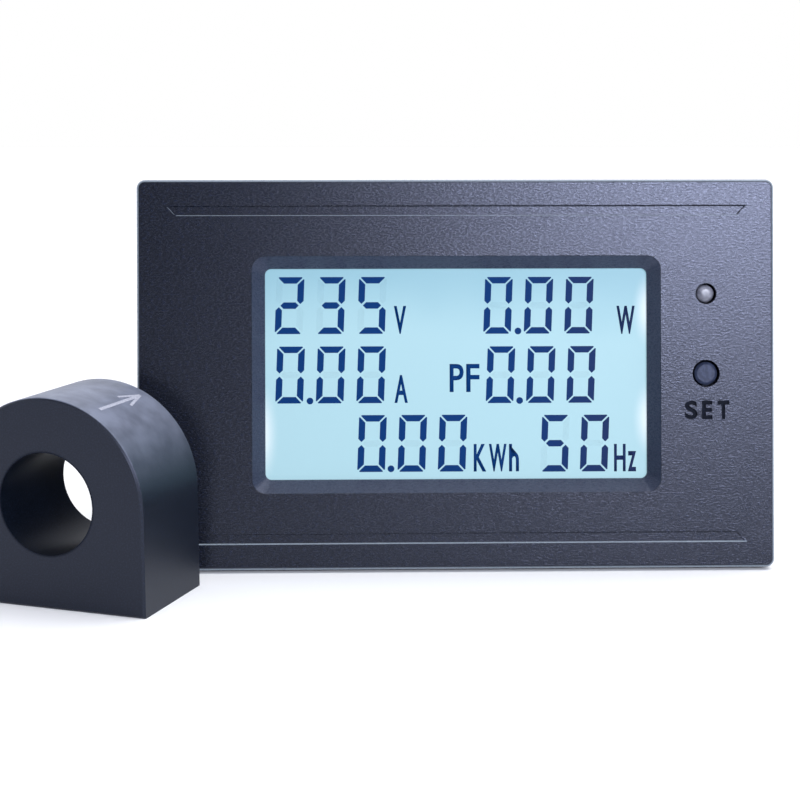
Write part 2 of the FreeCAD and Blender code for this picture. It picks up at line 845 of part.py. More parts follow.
def cover_screws():
    """The cover's own screws, with a crossed driver recess in each head."""
    body = screw_set("cover_screws", COVER_CORNERS, "cover_boss_x", "cover_boss_z",
                     "cover_head_seat", "cover_screw_head", "cover_screw_head_height",
                     "cover_screw_diameter", "cover_screw_length")
    top = "cover_head_seat + cover_screw_head_height"
    reach = "cover_screw_head / 2"
    for i, k in COVER_CORNERS:
        for width, height in ((reach, "cross_width"), ("cross_width", reach)):
            cut(body, top + " - cross_depth", top,
                about("%d * cover_boss_x" % i, "%d * cover_boss_z" % k, width, height))
    return body


# Components on the rear of the board: middle, size and height of each, in millimetres. The tall
# ones reach towards the back cover, and those with an edge distance stay near the lower edge.
CHIP_STAND = 0.1
MICROCONTROLLER = {"x": 2.0, "z": 8.0, "side": 9.0, "height": 1.4, "pitch": 1.27, "legs": 6,
                   "reach": 1.0, "leg": 0.4}
METERING_CHIP = {"x": 17.0, "z": 8.0, "width": 5.0, "length": 9.0, "height": 1.5, "pitch": 1.27,
                 "legs": 7, "reach": 1.0, "leg": 0.4}
CRYSTAL = {"x": 2.0, "z": 17.0, "length": 10.0, "width": 4.0, "height": 3.5, "end_round": 1.8}
FILM_CAPACITOR = {"x": -26.5, "edge": 4.75, "length": 10.0, "width": 6.0}
CAN_CAPACITORS = [{"x": -28.0, "z": 2.0, "diameter": 8.0, "clearance": 0.0},
                  {"x": -17.5, "z": 3.0, "diameter": 6.3, "clearance": 1.5}]
VARISTOR = {"x": -27.0, "z": -9.5, "diameter": 7.4, "thickness": 3.4, "stand": 1.0, "leg": 0.7,
            "spread": 2.0}
FUSE_RESISTOR = {"x": 27.0, "z": -9.5, "diameter": 3.6, "length": 9.0, "lead": 0.7, "stand": 0.3,
                 "shoulder": 1.5}
BRIDGE = {"x": 27.0, "edge": 4.75, "length": 6.8, "width": 5.2, "height": 2.5, "leg": 1.0,
          "reach": 1.2, "spread": 2.1}
CHIP_RESISTORS = {"x": 26.0, "z": 4.0, "columns": 3, "rows": 4, "step_x": 3.6, "step_z": 3.2,
                  "length": 2.0, "width": 1.25, "height": 0.6}


def above_board(height):
    return "board_rear + %.3f" % height


def near_lower_edge(distance):
    """Give the height of a component's middle above the board's lower edge as a place on the board."""
    return "%.3f - board_height / 2" % distance


def legged_chip(label, chip, four_sided):
    """A moulded chip with flat legs on two or four sides."""
    body = new_body(label)
    width = chip.get("side", chip.get("width"))
    length = chip.get("side", chip.get("length"))
    foot = chip["height"] / 3
    add(body, above_board(CHIP_STAND), above_board(chip["height"]),
        about(chip["x"], chip["z"], width, length))
    steps = [(leg - (chip["legs"] - 1) / 2) * chip["pitch"] for leg in range(chip["legs"])]
    for side in (-1, 1):
        away = side * (width / 2 + chip["reach"] / 2)
        add(body, "board_rear", above_board(foot),
            *[about(chip["x"] + away, chip["z"] + step, chip["reach"], chip["leg"])
              for step in steps])
        if four_sided:
            add(body, "board_rear", above_board(foot),
                *[about(chip["x"] + step, chip["z"] + away, chip["leg"], chip["reach"])
                  for step in steps])
    return body


def crystal():
    body = new_body("crystal")
    add(body, "board_rear", above_board(CRYSTAL["height"]),
        about(CRYSTAL["x"], CRYSTAL["z"], CRYSTAL["length"], CRYSTAL["width"]))
    dressed(body, "Fillet", CRYSTAL["end_round"],
            lambda edge: edge.BoundBox.YLength > CRYSTAL["height"] - SAME)
    return body


def film_capacitor():
    body = new_body("film_capacitor")
    size = FILM_CAPACITOR
    add(body, "board_rear", "board_rear + tall_height",
        about(size["x"], near_lower_edge(size["edge"]), size["length"], size["width"]))
    return body


def electrolytic_capacitors():
    body = new_body("electrolytic_capacitors")
    for can in CAN_CAPACITORS:
        add(body, "board_rear", "board_rear + tall_height - %.3f" % can["clearance"],
            disc(can["x"], can["z"], can["diameter"]))
    return body


def varistor():
    """A coated disc standing on two short legs."""
    body = new_body("varistor")
    size = VARISTOR
    radius = size["diameter"] / 2
    sketch = sketch_on(body, "XY_Plane", str(size["z"] - size["thickness"] / 2),
                       [disc(str(size["x"]), above_board(size["stand"] + radius),
                             str(size["diameter"]))])
    feature = body.newObject("PartDesign::Pad", "varistor_pad")
    feature.Profile = sketch
    feature.Length = size["thickness"]
    doc.recompute()
    add(body, "board_rear", above_board(size["stand"] + radius),
        *[about(size["x"] + side * size["spread"], size["z"], size["leg"], size["leg"])
          for side in (-1, 1)])
    return body


def fuse_resistor():
    """A barrel lying along X, with a bent lead at each end."""
    body = new_body("fuse_resistor")
    size = FUSE_RESISTOR
    axis = size["stand"] + size["diameter"] / 2
    start = size["x"] - size["length"] / 2
    sketch = sketch_on(body, "YZ_Plane", str(start),
                       [disc(above_board(axis), str(size["z"]), str(size["diameter"]))])
    feature = body.newObject("PartDesign::Pad", "fuse_resistor_pad")
    feature.Profile = sketch
    feature.Length = size["length"]
    doc.recompute()
    half = size["length"] / 2 + size["shoulder"]
    wire = size["lead"]
    add(body, above_board(axis - wire / 2), above_board(axis + wire / 2),
        about(size["x"], size["z"], 2 * half, wire))
    add(body, "board_rear", above_board(axis - wire / 2),
        about(size["x"] - half + wire / 2, size["z"], wire, wire),
        about(size["x"] + half - wire / 2, size["z"], wire, wire))
    return body


def bridge_rectifier():
    body = new_body("bridge_rectifier")
    size = BRIDGE
    middle = near_lower_edge(size["edge"])
    add(body, above_board(CHIP_STAND), above_board(size["height"]),
        about(size["x"], middle, size["length"], size["width"]))
    away = (size["width"] + size["reach"]) / 2
    legs = [about(size["x"] + i * size["spread"], "%s + %.3f" % (middle, k * away), size["leg"],
                  size["reach"])
            for i in (-1, 1) for k in (-1, 1)]
    add(body, "board_rear", above_board(size["height"] / 3), *legs)
    return body


def chip_resistors():
    body = new_body("chip_resistors")
    size = CHIP_RESISTORS
    chips = [about(size["x"] + (column - 1) * size["step_x"], size["z"] + row * size["step_z"],
                   size["length"], size["width"])
             for column in range(size["columns"]) for row in range(size["rows"])]
    add(body, "board_rear", above_board(size["height"]), *chips)
    return body


# Terminals

def chamber(pole, gap):
    """The outline of one terminal's chamber, drawn in by a gap."""
    half = "(chamber_width / 2 - %s)" % gap
    return rectangle(pole_offset(pole) + " - " + half, "chamber_bottom + " + gap,
                     pole_offset(pole) + " + " + half, "chamber_top - " + gap)


def terminal_block():
    body = new_body("terminal_block")
    half = "block_width / 2"
    add(body, "board_rear", "block_rear", rectangle("-" + half, "block_bottom", half, "block_top"))
    cut(body, "plate_front", "block_rear", *[chamber(pole, "0") for pole in POLES])
    cut(body, "board_rear", "plate_front",
        *[about(*pin_place(pole), "pin_slot", "pin_slot") for pole in POLES])
    cut(body, "washer_rear - terminal_screw_length - pilot_runout", "plate_front",
        *[about(pole_offset(pole), "terminal_height", "shank_pocket", "shank_pocket")
          for pole in POLES])
    return body


def terminal_plates():
    body = new_body("terminal_plates")
    add(body, "plate_front", "plate_rear", *[chamber(pole, "plate_gap") for pole in POLES])
    cut(body, "plate_front", "plate_rear",
        *[disc(pole_offset(pole), "terminal_height", "terminal_screw_diameter + 2 * thread_gap")
          for pole in POLES])
    add(body, "board_front + plate_gap", "plate_front",
        *[about(*pin_place(pole), "pin_side", "pin_side") for pole in POLES])
    return body


def clamp_washer(pole):
    body = new_body("clamp_washer_%d" % pole)
    add(body, "plate_rear", "washer_rear",
        about(pole_offset(pole), "terminal_height", "washer_width", "washer_height"))
    cut(body, "plate_rear", "washer_rear",
        disc(pole_offset(pole), "terminal_height",
             "terminal_screw_diameter + 2 * washer_hole_gap"))
    return body


def terminal_screw(pole):
    body = new_body("terminal_screw_%d" % pole)
    tip = "washer_rear - terminal_screw_length"
    top = "washer_rear + terminal_head_height"
    shank = "terminal_screw_diameter / 2"
    head = "terminal_head_diameter / 2"
    turned(body, pole_offset(pole), "terminal_height",
           ("0", tip), (shank, tip), (shank, "washer_rear"), (head, "washer_rear"), (head, top),
           ("0", top))
    cut(body, top + " - terminal_slot", top,
        about(pole_offset(pole), "terminal_height", "2 * terminal_head_diameter", "terminal_slot"))
    return body


# Back cover

def back_cover():
    body = new_body("back_cover")
    add(body, "rim", "case_depth", rounded("case_width", "case_height", "case_corner"))
    lip_front = "rim - lip_depth"
    lip_width = "(inside_width - 2 * lip_gap)"
    lip_height = "(inside_height - 2 * lip_gap)"
    add(body, lip_front, "rim", rounded(lip_width, lip_height, "inside_corner"),
        centred(lip_width + " - 2 * lip_wall", lip_height + " - 2 * lip_wall"))
    cut(body, lip_front, "rim", *corner_blocks("boss_relief"))
    cut(body, lip_front, "case_depth",
        rectangle("-(block_width / 2 + aperture_gap)", "block_bottom - aperture_gap",
                  "block_width / 2 + aperture_gap", "block_top + aperture_gap"))
    cut(body, "cover_head_seat", "case_depth", *cover_discs("cover_bore_diameter"))
    cut(body, "rim", "cover_head_seat", *cover_discs("cover_hole_diameter"))
    rear = number("case_depth")
    half_width = number("case_width / 2 - case_corner")
    half_height = number("case_height / 2 - case_corner")
    dressed(body, "Chamfer", "cover_edge",
            lambda edge: lies_at(edge, rear) and reaches(edge, half_width, half_height))
    return body


# Ring current transformer

def transformer_case():
    body = new_body("transformer_case")
    add(body, "0", "ring_depth", arch("ring_width", "0", "ring_centre"))
    cut(body, "ring_wall", "ring_depth", arch("ring_inside", "ring_wall", "ring_centre"))
    add(body, "ring_wall", "ring_depth", disc("0", "ring_centre", "ring_tube_outer"))
    cut(body, "0", "ring_depth", disc("0", "ring_centre", "ring_bore"))
    half = number("ring_width / 2")
    dressed(body, "Chamfer", "ring_edge",
            lambda edge: lies_at(edge, 0) and reaches(edge, half, number("ring_width")))
    return body


def transformer_core():
    body = new_body("transformer_core")
    add(body, "core_front", "core_rear", disc("0", "ring_centre", "core_outer"),
        disc("0", "ring_centre", "core_inner"))
    return body


def transformer_winding():
    """The wire wound round the core, as one sleeve of copper with the gap that the leads leave."""
    body = new_body("transformer_winding")
    skin = "(winding_gap + winding_wrap)"
    sketch = sketch_on(body, "XY_Plane", "ring_centre", [
        rectangle("core_inner / 2 - " + skin, "winding_front", "core_outer / 2 + " + skin,
                  "winding_rear"),
        rectangle("core_inner / 2 - winding_gap", "core_front - winding_gap",
                  "core_outer / 2 + winding_gap", "core_rear + winding_gap")])
    feature = body.newObject("PartDesign::Revolution", "transformer_winding_turned")
    feature.Profile = sketch
    feature.ReferenceAxis = (sketch, ["V_Axis"])
    feature.setExpression("Angle", bound("winding_angle"))
    doc.recompute()
    return body


def transformer_resin():
    body = new_body("transformer_resin")
    add(body, "winding_rear", "resin_rear", arch("ring_inside", "ring_wall", "ring_centre"),
        disc("0", "ring_centre", "ring_tube_outer"))
    return body


def lead_bush():
    body = new_body("lead_bush")
    add(body, "resin_rear", "resin_rear + bush_collar", disc("bush_x", "bush_height", "bush_diameter"))
    add(body, "resin_rear + bush_collar", "resin_rear + bush_collar + bush_nose",
        disc("bush_x", "bush_height", "bush_nose_diameter"))
    cut(body, "resin_rear + bush_collar", "resin_rear + bush_collar + bush_nose",
        disc("bush_x", "bush_height", "lead_hole"))
    return body


METER_PIECES = [
    front_shell(),
    set_button(),
    switch_body(),
    switch_plunger(),
    indicator_lens(),
    indicator_leads(),
    sheet_piece("lcd_front_polariser", "front_wall", "glass_front",
                "window_width + 2 * front_polariser_margin",
                "window_height + 2 * front_polariser_margin"),
    sheet_piece("lcd_front_glass", "glass_front", "glass_middle", "glass_width", "glass_height"),
    sheet_piece("lcd_rear_glass", "glass_middle", "glass_rear", "glass_width", "rear_glass_height"),
    sheet_piece("lcd_rear_polariser", "glass_rear", "diffuser_front", "optic_width",
                "optic_height"),
    sheet_piece("diffuser_film", "diffuser_front", "guide_front", "optic_width", "optic_height"),
    light_guide(),
    reflector_film(),
    backlight_leds(),
    lcd_carrier(),
    contact_strips(),
    main_board(),
    board_screws(),
    legged_chip("microcontroller", MICROCONTROLLER, True),
    legged_chip("metering_chip", METERING_CHIP, False),
    crystal(),
    film_capacitor(),
    electrolytic_capacitors(),
    varistor(),
    fuse_resistor(),
    bridge_rectifier(),
    chip_resistors(),
    terminal_block(),
    terminal_plates(),
    back_cover(),
    cover_screws(),
]
METER_PIECES += [clamp_washer(pole) for pole in POLES]
METER_PIECES += [terminal_screw(pole) for pole in POLES]

RING_PIECES = [
    transformer_case(),
    transformer_core(),
    transformer_winding(),
    transformer_resin(),
    lead_bush(),
]


# Places on the table

def lean_angle():
    """The angle at which the bezel's rear bottom edge and the cover's chamfer both touch."""
    run = number("case_depth - bezel_thickness - cover_edge")
    rise = number("bezel_height / 2 - case_height / 2")
    return math.atan2(rise, run)


LEAN = lean_angle()
TURN = math.radians(number("ring_angle"))
foot_height = (number("bezel_height") / 2 * math.cos(LEAN)
               + number("bezel_thickness") * math.sin(LEAN))
front_edge = -number("bezel_height") / 2 * math.sin(LEAN)
meter_place = Placement(Vector(0, -front_edge, foot_height),
                        Rotation(Vector(1, 0, 0), -math.degrees(LEAN)))
ring_place = Placement(Vector(number("ring_x"), number("ring_y"), 0),
                       Rotation(Vector(0, 0, 1), -math.degrees(TURN)))

pieces = METER_PIECES + RING_PIECES
for piece in METER_PIECES:
    piece.Placement = meter_place
for piece in RING_PIECES:
    piece.Placement = ring_place

# Move everything so that the origin lies under the middle of the whole
box = Part.makeCompound([piece.Shape for piece in pieces]).optimalBoundingBox(False, False)
shift = Placement(Vector(-(box.XMin + box.XMax) / 2, -(box.YMin + box.YMax) / 2, -box.ZMin),
                  Rotation())
for piece in pieces:
    piece.Placement = shift * piece.Placement
doc.recompute()

for thing in doc.Objects:
    if "Invalid" in thing.State or "Error" in thing.State:
        raise ValueError("%s failed: %s" % (thing.Label, thing.State))
for piece in pieces:
    if piece.Shape.isNull() or not piece.Shape.isValid():
        raise ValueError(piece.Label + " has no valid shape")

os.makedirs("parts", exist_ok=True)
for piece in pieces:
    piece.Shape.exportStep("parts/%s.step" % piece.Label)

print("lean in degrees", round(math.degrees(LEAN), 4))
print("shift", [round(value, 4) for value in shift.Base])
print("meter origin", [round(value, 4) for value in (shift * meter_place).Base])
print("box", [round(value, 3) for value in (box.XLength, box.YLength, box.ZLength)])
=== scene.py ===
import json
import math

import bpy
from bpy.props import FloatProperty, PointerProperty, StringProperty
from mathutils import Matrix, Vector


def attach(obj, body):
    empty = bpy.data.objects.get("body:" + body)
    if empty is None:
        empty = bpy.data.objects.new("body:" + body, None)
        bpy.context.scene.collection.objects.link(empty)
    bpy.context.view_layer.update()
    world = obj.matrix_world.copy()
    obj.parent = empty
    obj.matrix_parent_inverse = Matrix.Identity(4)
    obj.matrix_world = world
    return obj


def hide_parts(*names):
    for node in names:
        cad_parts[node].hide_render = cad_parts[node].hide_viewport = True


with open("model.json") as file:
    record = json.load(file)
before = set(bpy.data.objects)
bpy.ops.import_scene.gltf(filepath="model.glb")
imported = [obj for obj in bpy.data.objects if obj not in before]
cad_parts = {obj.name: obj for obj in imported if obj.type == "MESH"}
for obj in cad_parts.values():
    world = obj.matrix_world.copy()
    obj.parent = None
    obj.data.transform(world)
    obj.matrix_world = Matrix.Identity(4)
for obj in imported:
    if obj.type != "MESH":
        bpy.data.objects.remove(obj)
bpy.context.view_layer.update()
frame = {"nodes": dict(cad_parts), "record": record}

# Looks of the panel power meter and its ring current transformer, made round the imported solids.
# Lengths are metres, written as a number of millimetres times MM.

bl_info = {
    "name": "Panel Power Meter",
    "version": (1, 0, 0),
    "blender": (4, 5, 0),
    "location": "View3D > Sidebar > Meter",
    "description": "Finishes the moulded, glass and metal pieces of a panel power meter",
    "category": "Object",
}

MM = 0.001
MOUNTS = {mount["name"]: mount for mount in frame["record"]["mounts"]}

# The meter's axes. The cut-out mount lies on its centre line, half a panel behind the bezel.
CUTOUT_DEPTH = 4.4 * MM
RIGHT = Vector((1, 0, 0))
DEPTH = Vector(MOUNTS["panel_cutout"]["axis"]).normalized()
RISE = RIGHT.cross(DEPTH)
METER_PLACE = Vector(MOUNTS["panel_cutout"]["pos_m"]) - DEPTH * CUTOUT_DEPTH

# The transformer's axes: along its face, along its bore from the front face, and up from its base
BORE_OUT = Vector(MOUNTS["conductor_bore"]["axis"]).normalized()
RING_DEPTH = MOUNTS["conductor_bore"]["dims"]["length_mm"] * MM
BORE_RADIUS_MM = MOUNTS["conductor_bore"]["dims"]["r_mm"]
RING_PLACE = Vector(MOUNTS["transformer_base"]["pos_m"]) + BORE_OUT * RING_DEPTH / 2


def axes(place, right, depth, rise):
    """Make the matrix that carries a piece's own axes to a place and three directions."""
    turn = Matrix((right, depth, rise)).transposed().to_4x4()
    return Matrix.Translation(place) @ turn


METER = axes(METER_PLACE, RIGHT, DEPTH, RISE)
# A sheet lying on the bezel: X to the right, Y up and Z out towards the reader
BEZEL_SHEET = axes(METER_PLACE, RIGHT, RISE, -DEPTH)
# A sheet lying on the rear of the cover: X to the left as seen from the front, Y up and Z out
COVER_DEPTH = 24.5 * MM
COVER_SHEET = axes(METER_PLACE + DEPTH * COVER_DEPTH, -RIGHT, RISE, DEPTH)
UP = Vector((0, 0, 1))
RING = axes(RING_PLACE, -BORE_OUT.cross(UP), -BORE_OUT, UP)


# Display layout, read off the meter's own face in millimetres from the middle of the bezel
DIGIT_ROWS = [
    # characters, left edge of the first, top edge, step from one to the next
    ("235", -25.86, 13.84, 5.86),
    ("000", 3.84, 13.80, 5.79),
    ("000", -25.81, 3.96, 5.76),
    ("000", 4.17, 3.90, 5.76),
    ("000", -14.19, -5.84, 5.74),
    ("50", 11.93, -5.92, 5.67),
]
DECIMAL_POINTS = [(8.81, 6.08), (-20.87, -3.80), (9.02, -3.85), (-9.37, -13.50)]
UNIT_SIGNS = [
    # sign, left edge, bottom edge, width, height
    ("V", -8.87, 5.72, 1.70, 3.98),
    ("W", 22.94, 5.62, 2.59, 4.02),
    ("A", -8.82, -4.12, 1.86, 3.98),
    ("P", -0.97, -2.60, 2.00, 4.00),
    ("F", 1.40, -2.60, 1.89, 4.00),
    ("K", 2.44, -13.96, 1.74, 3.93),
    ("W", 4.62, -13.96, 2.50, 3.93),
    ("h", 7.48, -13.96, 1.42, 3.93),
    ("H", 22.52, -14.04, 1.66, 3.93),
    ("z", 24.52, -14.04, 1.14, 2.90),
]
# The bars of a digit run clockwise from the top, and g is the middle one
LIT_BARS = {"0": "abcdef", "2": "abged", "3": "abgcd", "5": "afgcd"}
ALL_BARS = "abcdefg"
# What every length that a user would change has in common
LENGTH = {"subtype": "DISTANCE", "unit": "LENGTH"}


class MeterSizes(bpy.types.PropertyGroup):
    """Sizes of the meter's figures, letters and edges"""
    digit_height: FloatProperty(
        name="Digit height", description="Height of one seven-bar digit of the display",
        default=8.1 * MM, **LENGTH)
    digit_width: FloatProperty(
        name="Digit width", description="Width of one digit before it is slanted",
        default=3.95 * MM, **LENGTH)
    bar_width: FloatProperty(
        name="Bar width", description="Width of one bar of a digit",
        default=0.92 * MM, **LENGTH)
    bar_gap: FloatProperty(
        name="Corner gap", description="Distance of a bar's long edge from the digit's corner",
        default=0.16 * MM, **LENGTH)
    tip_gap: FloatProperty(
        name="Tip gap", description="Distance of a bar's tip from the lines through the middle",
        default=0.24 * MM, **LENGTH)
    digit_slant: FloatProperty(
        name="Slant", description="Angle by which the digits lean to the right",
        default=math.radians(2.2), subtype="ANGLE", unit="ROTATION")
    point_diameter: FloatProperty(
        name="Decimal point", description="Diameter of a decimal point",
        default=0.96 * MM, **LENGTH)
    film_thickness: FloatProperty(
        name="Film", description="Thickness of the dark figures over the display",
        default=0.02 * MM, **LENGTH)
    display_depth: FloatProperty(
        name="Display depth", description="Depth of the display's face behind the bezel",
        default=2.5 * MM, **LENGTH)
    letter_height: FloatProperty(
        name="Letter height", description="Height of the letters sunk under the button",
        default=2.56 * MM, **LENGTH)
    letter_depth: FloatProperty(
        name="Letter depth", description="Depth of the letters sunk under the button",
        default=0.35 * MM, **LENGTH)
    letter_weight: FloatProperty(
        name="Letter weight", description="Growth of each side of a sunk letter's strokes",
        default=0.1 * MM, **LENGTH)
    sign_weight: FloatProperty(
        name="Sign weight", description="Growth of each side of a display sign's strokes",
        default=0.07 * MM, **LENGTH)
    line_slope: FloatProperty(
        name="Trim line slope", description="Width of the sloped sides of the two trim lines",
        default=0.2 * MM, **LENGTH)
    rim_ease: FloatProperty(
        name="Hole rim", description="Width of the eased rims of the holes and sunk letters",
        default=0.09 * MM, **LENGTH)
    numeral_height: FloatProperty(
        name="Numeral height", description="Height of the terminal numbers sunk in the cover",
        default=2.6 * MM, **LENGTH)
    numeral_depth: FloatProperty(
        name="Numeral depth", description="Depth of the terminal numbers sunk in the cover",
        default=0.2 * MM, **LENGTH)
    dome_ease: FloatProperty(
        name="Dome rounding", description="Width by which the indicator's steps are rounded",
        default=0.25 * MM, **LENGTH)
    edge_ease: FloatProperty(
        name="Eased edge", description="Width by which moulded and turned edges are eased",
        default=0.08 * MM, **LENGTH)


class TransformerSizes(bpy.types.PropertyGroup):
    """Sizes of the transformer's arch and of its arrow"""
    arch_radius: FloatProperty(
        name="Arch radius", description="Radius of the arched top of the transformer's case",
        default=14.0 * MM, **LENGTH)
    arrow_length: FloatProperty(
        name="Arrow length", description="Length of the printed direction arrow",
        default=10.6 * MM, **LENGTH)
    arrow_head: FloatProperty(
        name="Arrow head", description="Length of the arrow's head",
        default=4.3 * MM, **LENGTH)
    arrow_width: FloatProperty(
        name="Arrow head width", description="Width of the arrow's head",
        default=2.2 * MM, **LENGTH)
    arrow_line: FloatProperty(
        name="Arrow line", description="Width of the arrow's shaft",
        default=0.5 * MM, **LENGTH)
    arrow_front: FloatProperty(
        name="Arrow place", description="Distance of the arrow's tail from the front face",
        default=3.0 * MM, **LENGTH)
    arrow_around: FloatProperty(
        name="Arrow round the arch", description="Distance of the arrow from the arch's top line",
        default=6.85 * MM, **LENGTH)
    ink: FloatProperty(
        name="Ink", description="Thickness of the printed ink",
        default=0.02 * MM, **LENGTH)


class MeterColours(bpy.types.PropertyGroup):
    """Colours as sRGB hex values"""
    case: StringProperty(name="Case", description="Moulded bezel and case", default="#04070f")
    # Crests of the spark texture, painted paler as glints
    case_speck_glint: StringProperty(name="Case specks", description="Crests of the spark texture",
                               default="#1f2536")
    # Painted reflection of the lit display on the slopes round the window
    bevel_reflection: StringProperty(name="Window bevel", description="Slopes round the window",
                               default="#2a3040")
    # Painted highlight on the bezel's rounded rim and on the trim lines' lower slopes
    rim_highlight: StringProperty(name="Case rim", description="Burnished rim of the bezel",
                             default="#7d8790")
    ring_case: StringProperty(name="Ring case", description="Moulded transformer case",
                              default="#080d16")
    ring_speck: StringProperty(name="Ring specks", description="Crests of the case's fine grain",
                               default="#131a27")
    # Painted highlight on the arch, stronger towards its top
    ring_arch_highlight: StringProperty(name="Ring bloom", description="Dust on the handled arch",
                               default="#858b9c")
    sheen: StringProperty(name="Sheen", description="Tint of the light that the mouldings mirror",
                          default="#e0e6ff")
    figures: StringProperty(name="Figures", description="Lit bars and signs of the display",
                            default="#042f63")
    display_edge: StringProperty(name="Display edge", description="Display near its upper edge",
                                 default="#92c0d1")
    display_middle: StringProperty(name="Display middle", description="Display near its middle",
                                   default="#add4df")
    display_lamp: StringProperty(name="Display lamps", description="Display beside its lamps",
                                 default="#f2fbff")


# Materials

EVEN = (1, 1, 1)
# Stretch that turns metres to millimetres
TO_MM = (1000, 1000, 1000)
# Place and turn of the meter and of the transformer, which their patterns lie along
METER_AXES = (METER_PLACE, METER.to_euler())
RING_AXES = (RING_PLACE, RING.to_euler())
# The two colour inputs of a Mix node
FIRST, SECOND = 6, 7
# How a Map Range node eases in and out
EASED = {"interpolation_type": "SMOOTHSTEP"}


def linear(colour):
    """Turn an sRGB hex colour to linear red, green and blue, with full alpha."""
    channels = [int(colour[i:i + 2], 16) / 255 for i in (1, 3, 5)]
    return [((c + 0.055) / 1.055) ** 2.4 if c > 0.04045 else c / 12.92 for c in channels] + [1.0]


def plug(material, node, inputs):
    """Give each input of a node a plain value, a socket, or another node's first open output."""
    for name, source in inputs.items():
        if isinstance(source, bpy.types.Node):
            source = next(output for output in source.outputs if output.enabled)
        if isinstance(source, bpy.types.NodeSocket):
            material.node_tree.links.new(source, node.inputs[name])
        else:
            node.inputs[name].default_value = source


def add_node(material, kind, inputs, **options):
    """Add a shader node with its options, and fill its inputs."""
    node = material.node_tree.nodes.new("ShaderNode" + kind)
    for name, value in options.items():
        setattr(node, name, value)
    plug(material, node, inputs)
    return node


def feed(material, inputs):
    """Fill inputs of the material's main shader."""
    plug(material, material.node_tree.nodes["Principled BSDF"], inputs)


def new_finish(name, colour, values):
    """Start a material with one colour and the plain values of its surface."""
    material = bpy.data.materials.new(name)
    material.use_nodes = True
    feed(material, {"Base Color": linear(colour), **values})
    return material


def own_axes(material, piece, stretch):
    """Give object coordinates moved and turned to a piece's own axes, and stretched along them."""
    place, turn = piece
    coordinates = add_node(material, "TexCoord", {})
    squared = add_node(material, "Mapping",
                       {"Vector": coordinates.outputs["Object"], "Location": place,
                        "Rotation": turn}, vector_type="TEXTURE")
    return add_node(material, "Mapping", {"Vector": squared, "Scale": stretch},
                    vector_type="POINT")


def grain(material, piece, size_mm, detail, stretch=EVEN):
    """Lay a noise along a piece's own axes, with cells of a size in millimetres."""
    return add_node(material, "TexNoise",
                    {"Vector": own_axes(material, piece, stretch), "Scale": 1000 / size_mm,
                     "Detail": detail, "Roughness": 0.55}, noise_dimensions="3D")


def two_tone(material, factor, low, high, dark, light):
    """Colour a surface from dark to light as a factor goes from low to high."""
    spread = add_node(material, "MapRange", {"Value": factor, "From Min": low, "From Max": high},
                      **EASED)
    mix = add_node(material, "Mix",
                   {"Factor": spread, FIRST: linear(dark), SECOND: linear(light)},
                   data_type="RGBA")
    feed(material, {"Base Color": mix})
    return spread


def laid_over(material, factor, colour):
    """Lay a colour over a material's own as a factor goes from 0 to 1."""
    shader = material.node_tree.nodes["Principled BSDF"]
    own = shader.inputs["Base Color"].links[0].from_socket
    mix = add_node(material, "Mix", {"Factor": factor, FIRST: own, SECOND: linear(colour)},
                   data_type="RGBA")
    feed(material, {"Base Color": mix})
    return mix


def relief(material, height, depth_mm, strength):
    """Raise and sink the surface by a height in millimetres."""
    bump = add_node(material, "Bump",
                    {"Height": height, "Strength": strength, "Distance": depth_mm * MM})
    feed(material, {"Normal": bump})


def rough_between(material, factor, smooth, rough):
    """Let roughness follow a factor."""
    spread = add_node(material, "MapRange", {"Value": factor, "To Min": smooth, "To Max": rough})
    feed(material, {"Roughness": spread})


def moulded(name, dark, light, size_mm, depth_mm, roughness, values=None, piece=METER_AXES,
            stretch=EVEN):
    """A moulded, cast or dipped surface with an even grain in its colour, gloss and relief."""
    material = new_finish(name, dark, values or {})
    cells = grain(material, piece, size_mm, 2.0, stretch)
    two_tone(material, cells, 0.42, 0.68, dark, light)
    rough_between(material, cells, roughness - 0.06, roughness + 0.06)
    relief(material, cells, depth_mm, 0.6)
    return material


def drawn(name, dark, light, stretch, size_mm, depth_mm, roughness, piece=METER_AXES):
    """A drawn, rolled or turned metal with fine lines along one direction."""
    material = new_finish(name, dark, {"Metallic": 1.0})
    lines = grain(material, piece, size_mm, 3.0, stretch)
    two_tone(material, lines, 0.35, 0.7, dark, light)
    rough_between(material, lines, roughness - 0.08, roughness + 0.1)
    relief(material, lines, depth_mm, 0.35)
    return material


# The bezel's outline, in millimetres: half its width and height, and its corner radius
BEZEL_HALF = (45.0, 27.5)
RIM_CORNER = 1.2
# The painted highlight on the rim starts and is full this far inside the outline, and ends this
# deep
RIM_FADE = (0.42, 0.15)
RIM_DEPTH = (0.6, 0.45)
# The lower slope of each trim line and its left end, where a highlight is painted, as middle and
# half length of a box along the meter's three axes, in millimetres
HIGHLIGHTED_SLOPES = [
    ((0.0, 42.0), (0.11, 0.1), (22.43, 0.1)),
    ((0.0, 42.0), (0.11, 0.1), (-23.77, 0.1)),
    ((-40.1, 0.9), (0.11, 0.1), (23.05, 0.62)),
    ((-40.1, 0.9), (0.11, 0.1), (-23.05, 0.62)),
]
# The window's bevel, as such a box, where a reflection of the lit display is painted
WINDOW_BEVEL = ((0.0, 29.2), (1.15, 1.08), (0.0, 17.0))


def in_box(material, split, box):
    """Give 1 inside a box, which is its middle and half length along each axis, and 0 outside."""
    factor = None
    for axis, (middle, half) in zip("XYZ", box):
        near = add_node(material, "Math", {0: split.outputs[axis], 1: middle, 2: half},
                        operation="COMPARE")
        if factor is None:
            factor = near
        else:
            factor = add_node(material, "Math", {0: factor, 1: near}, operation="MULTIPLY")
    return factor


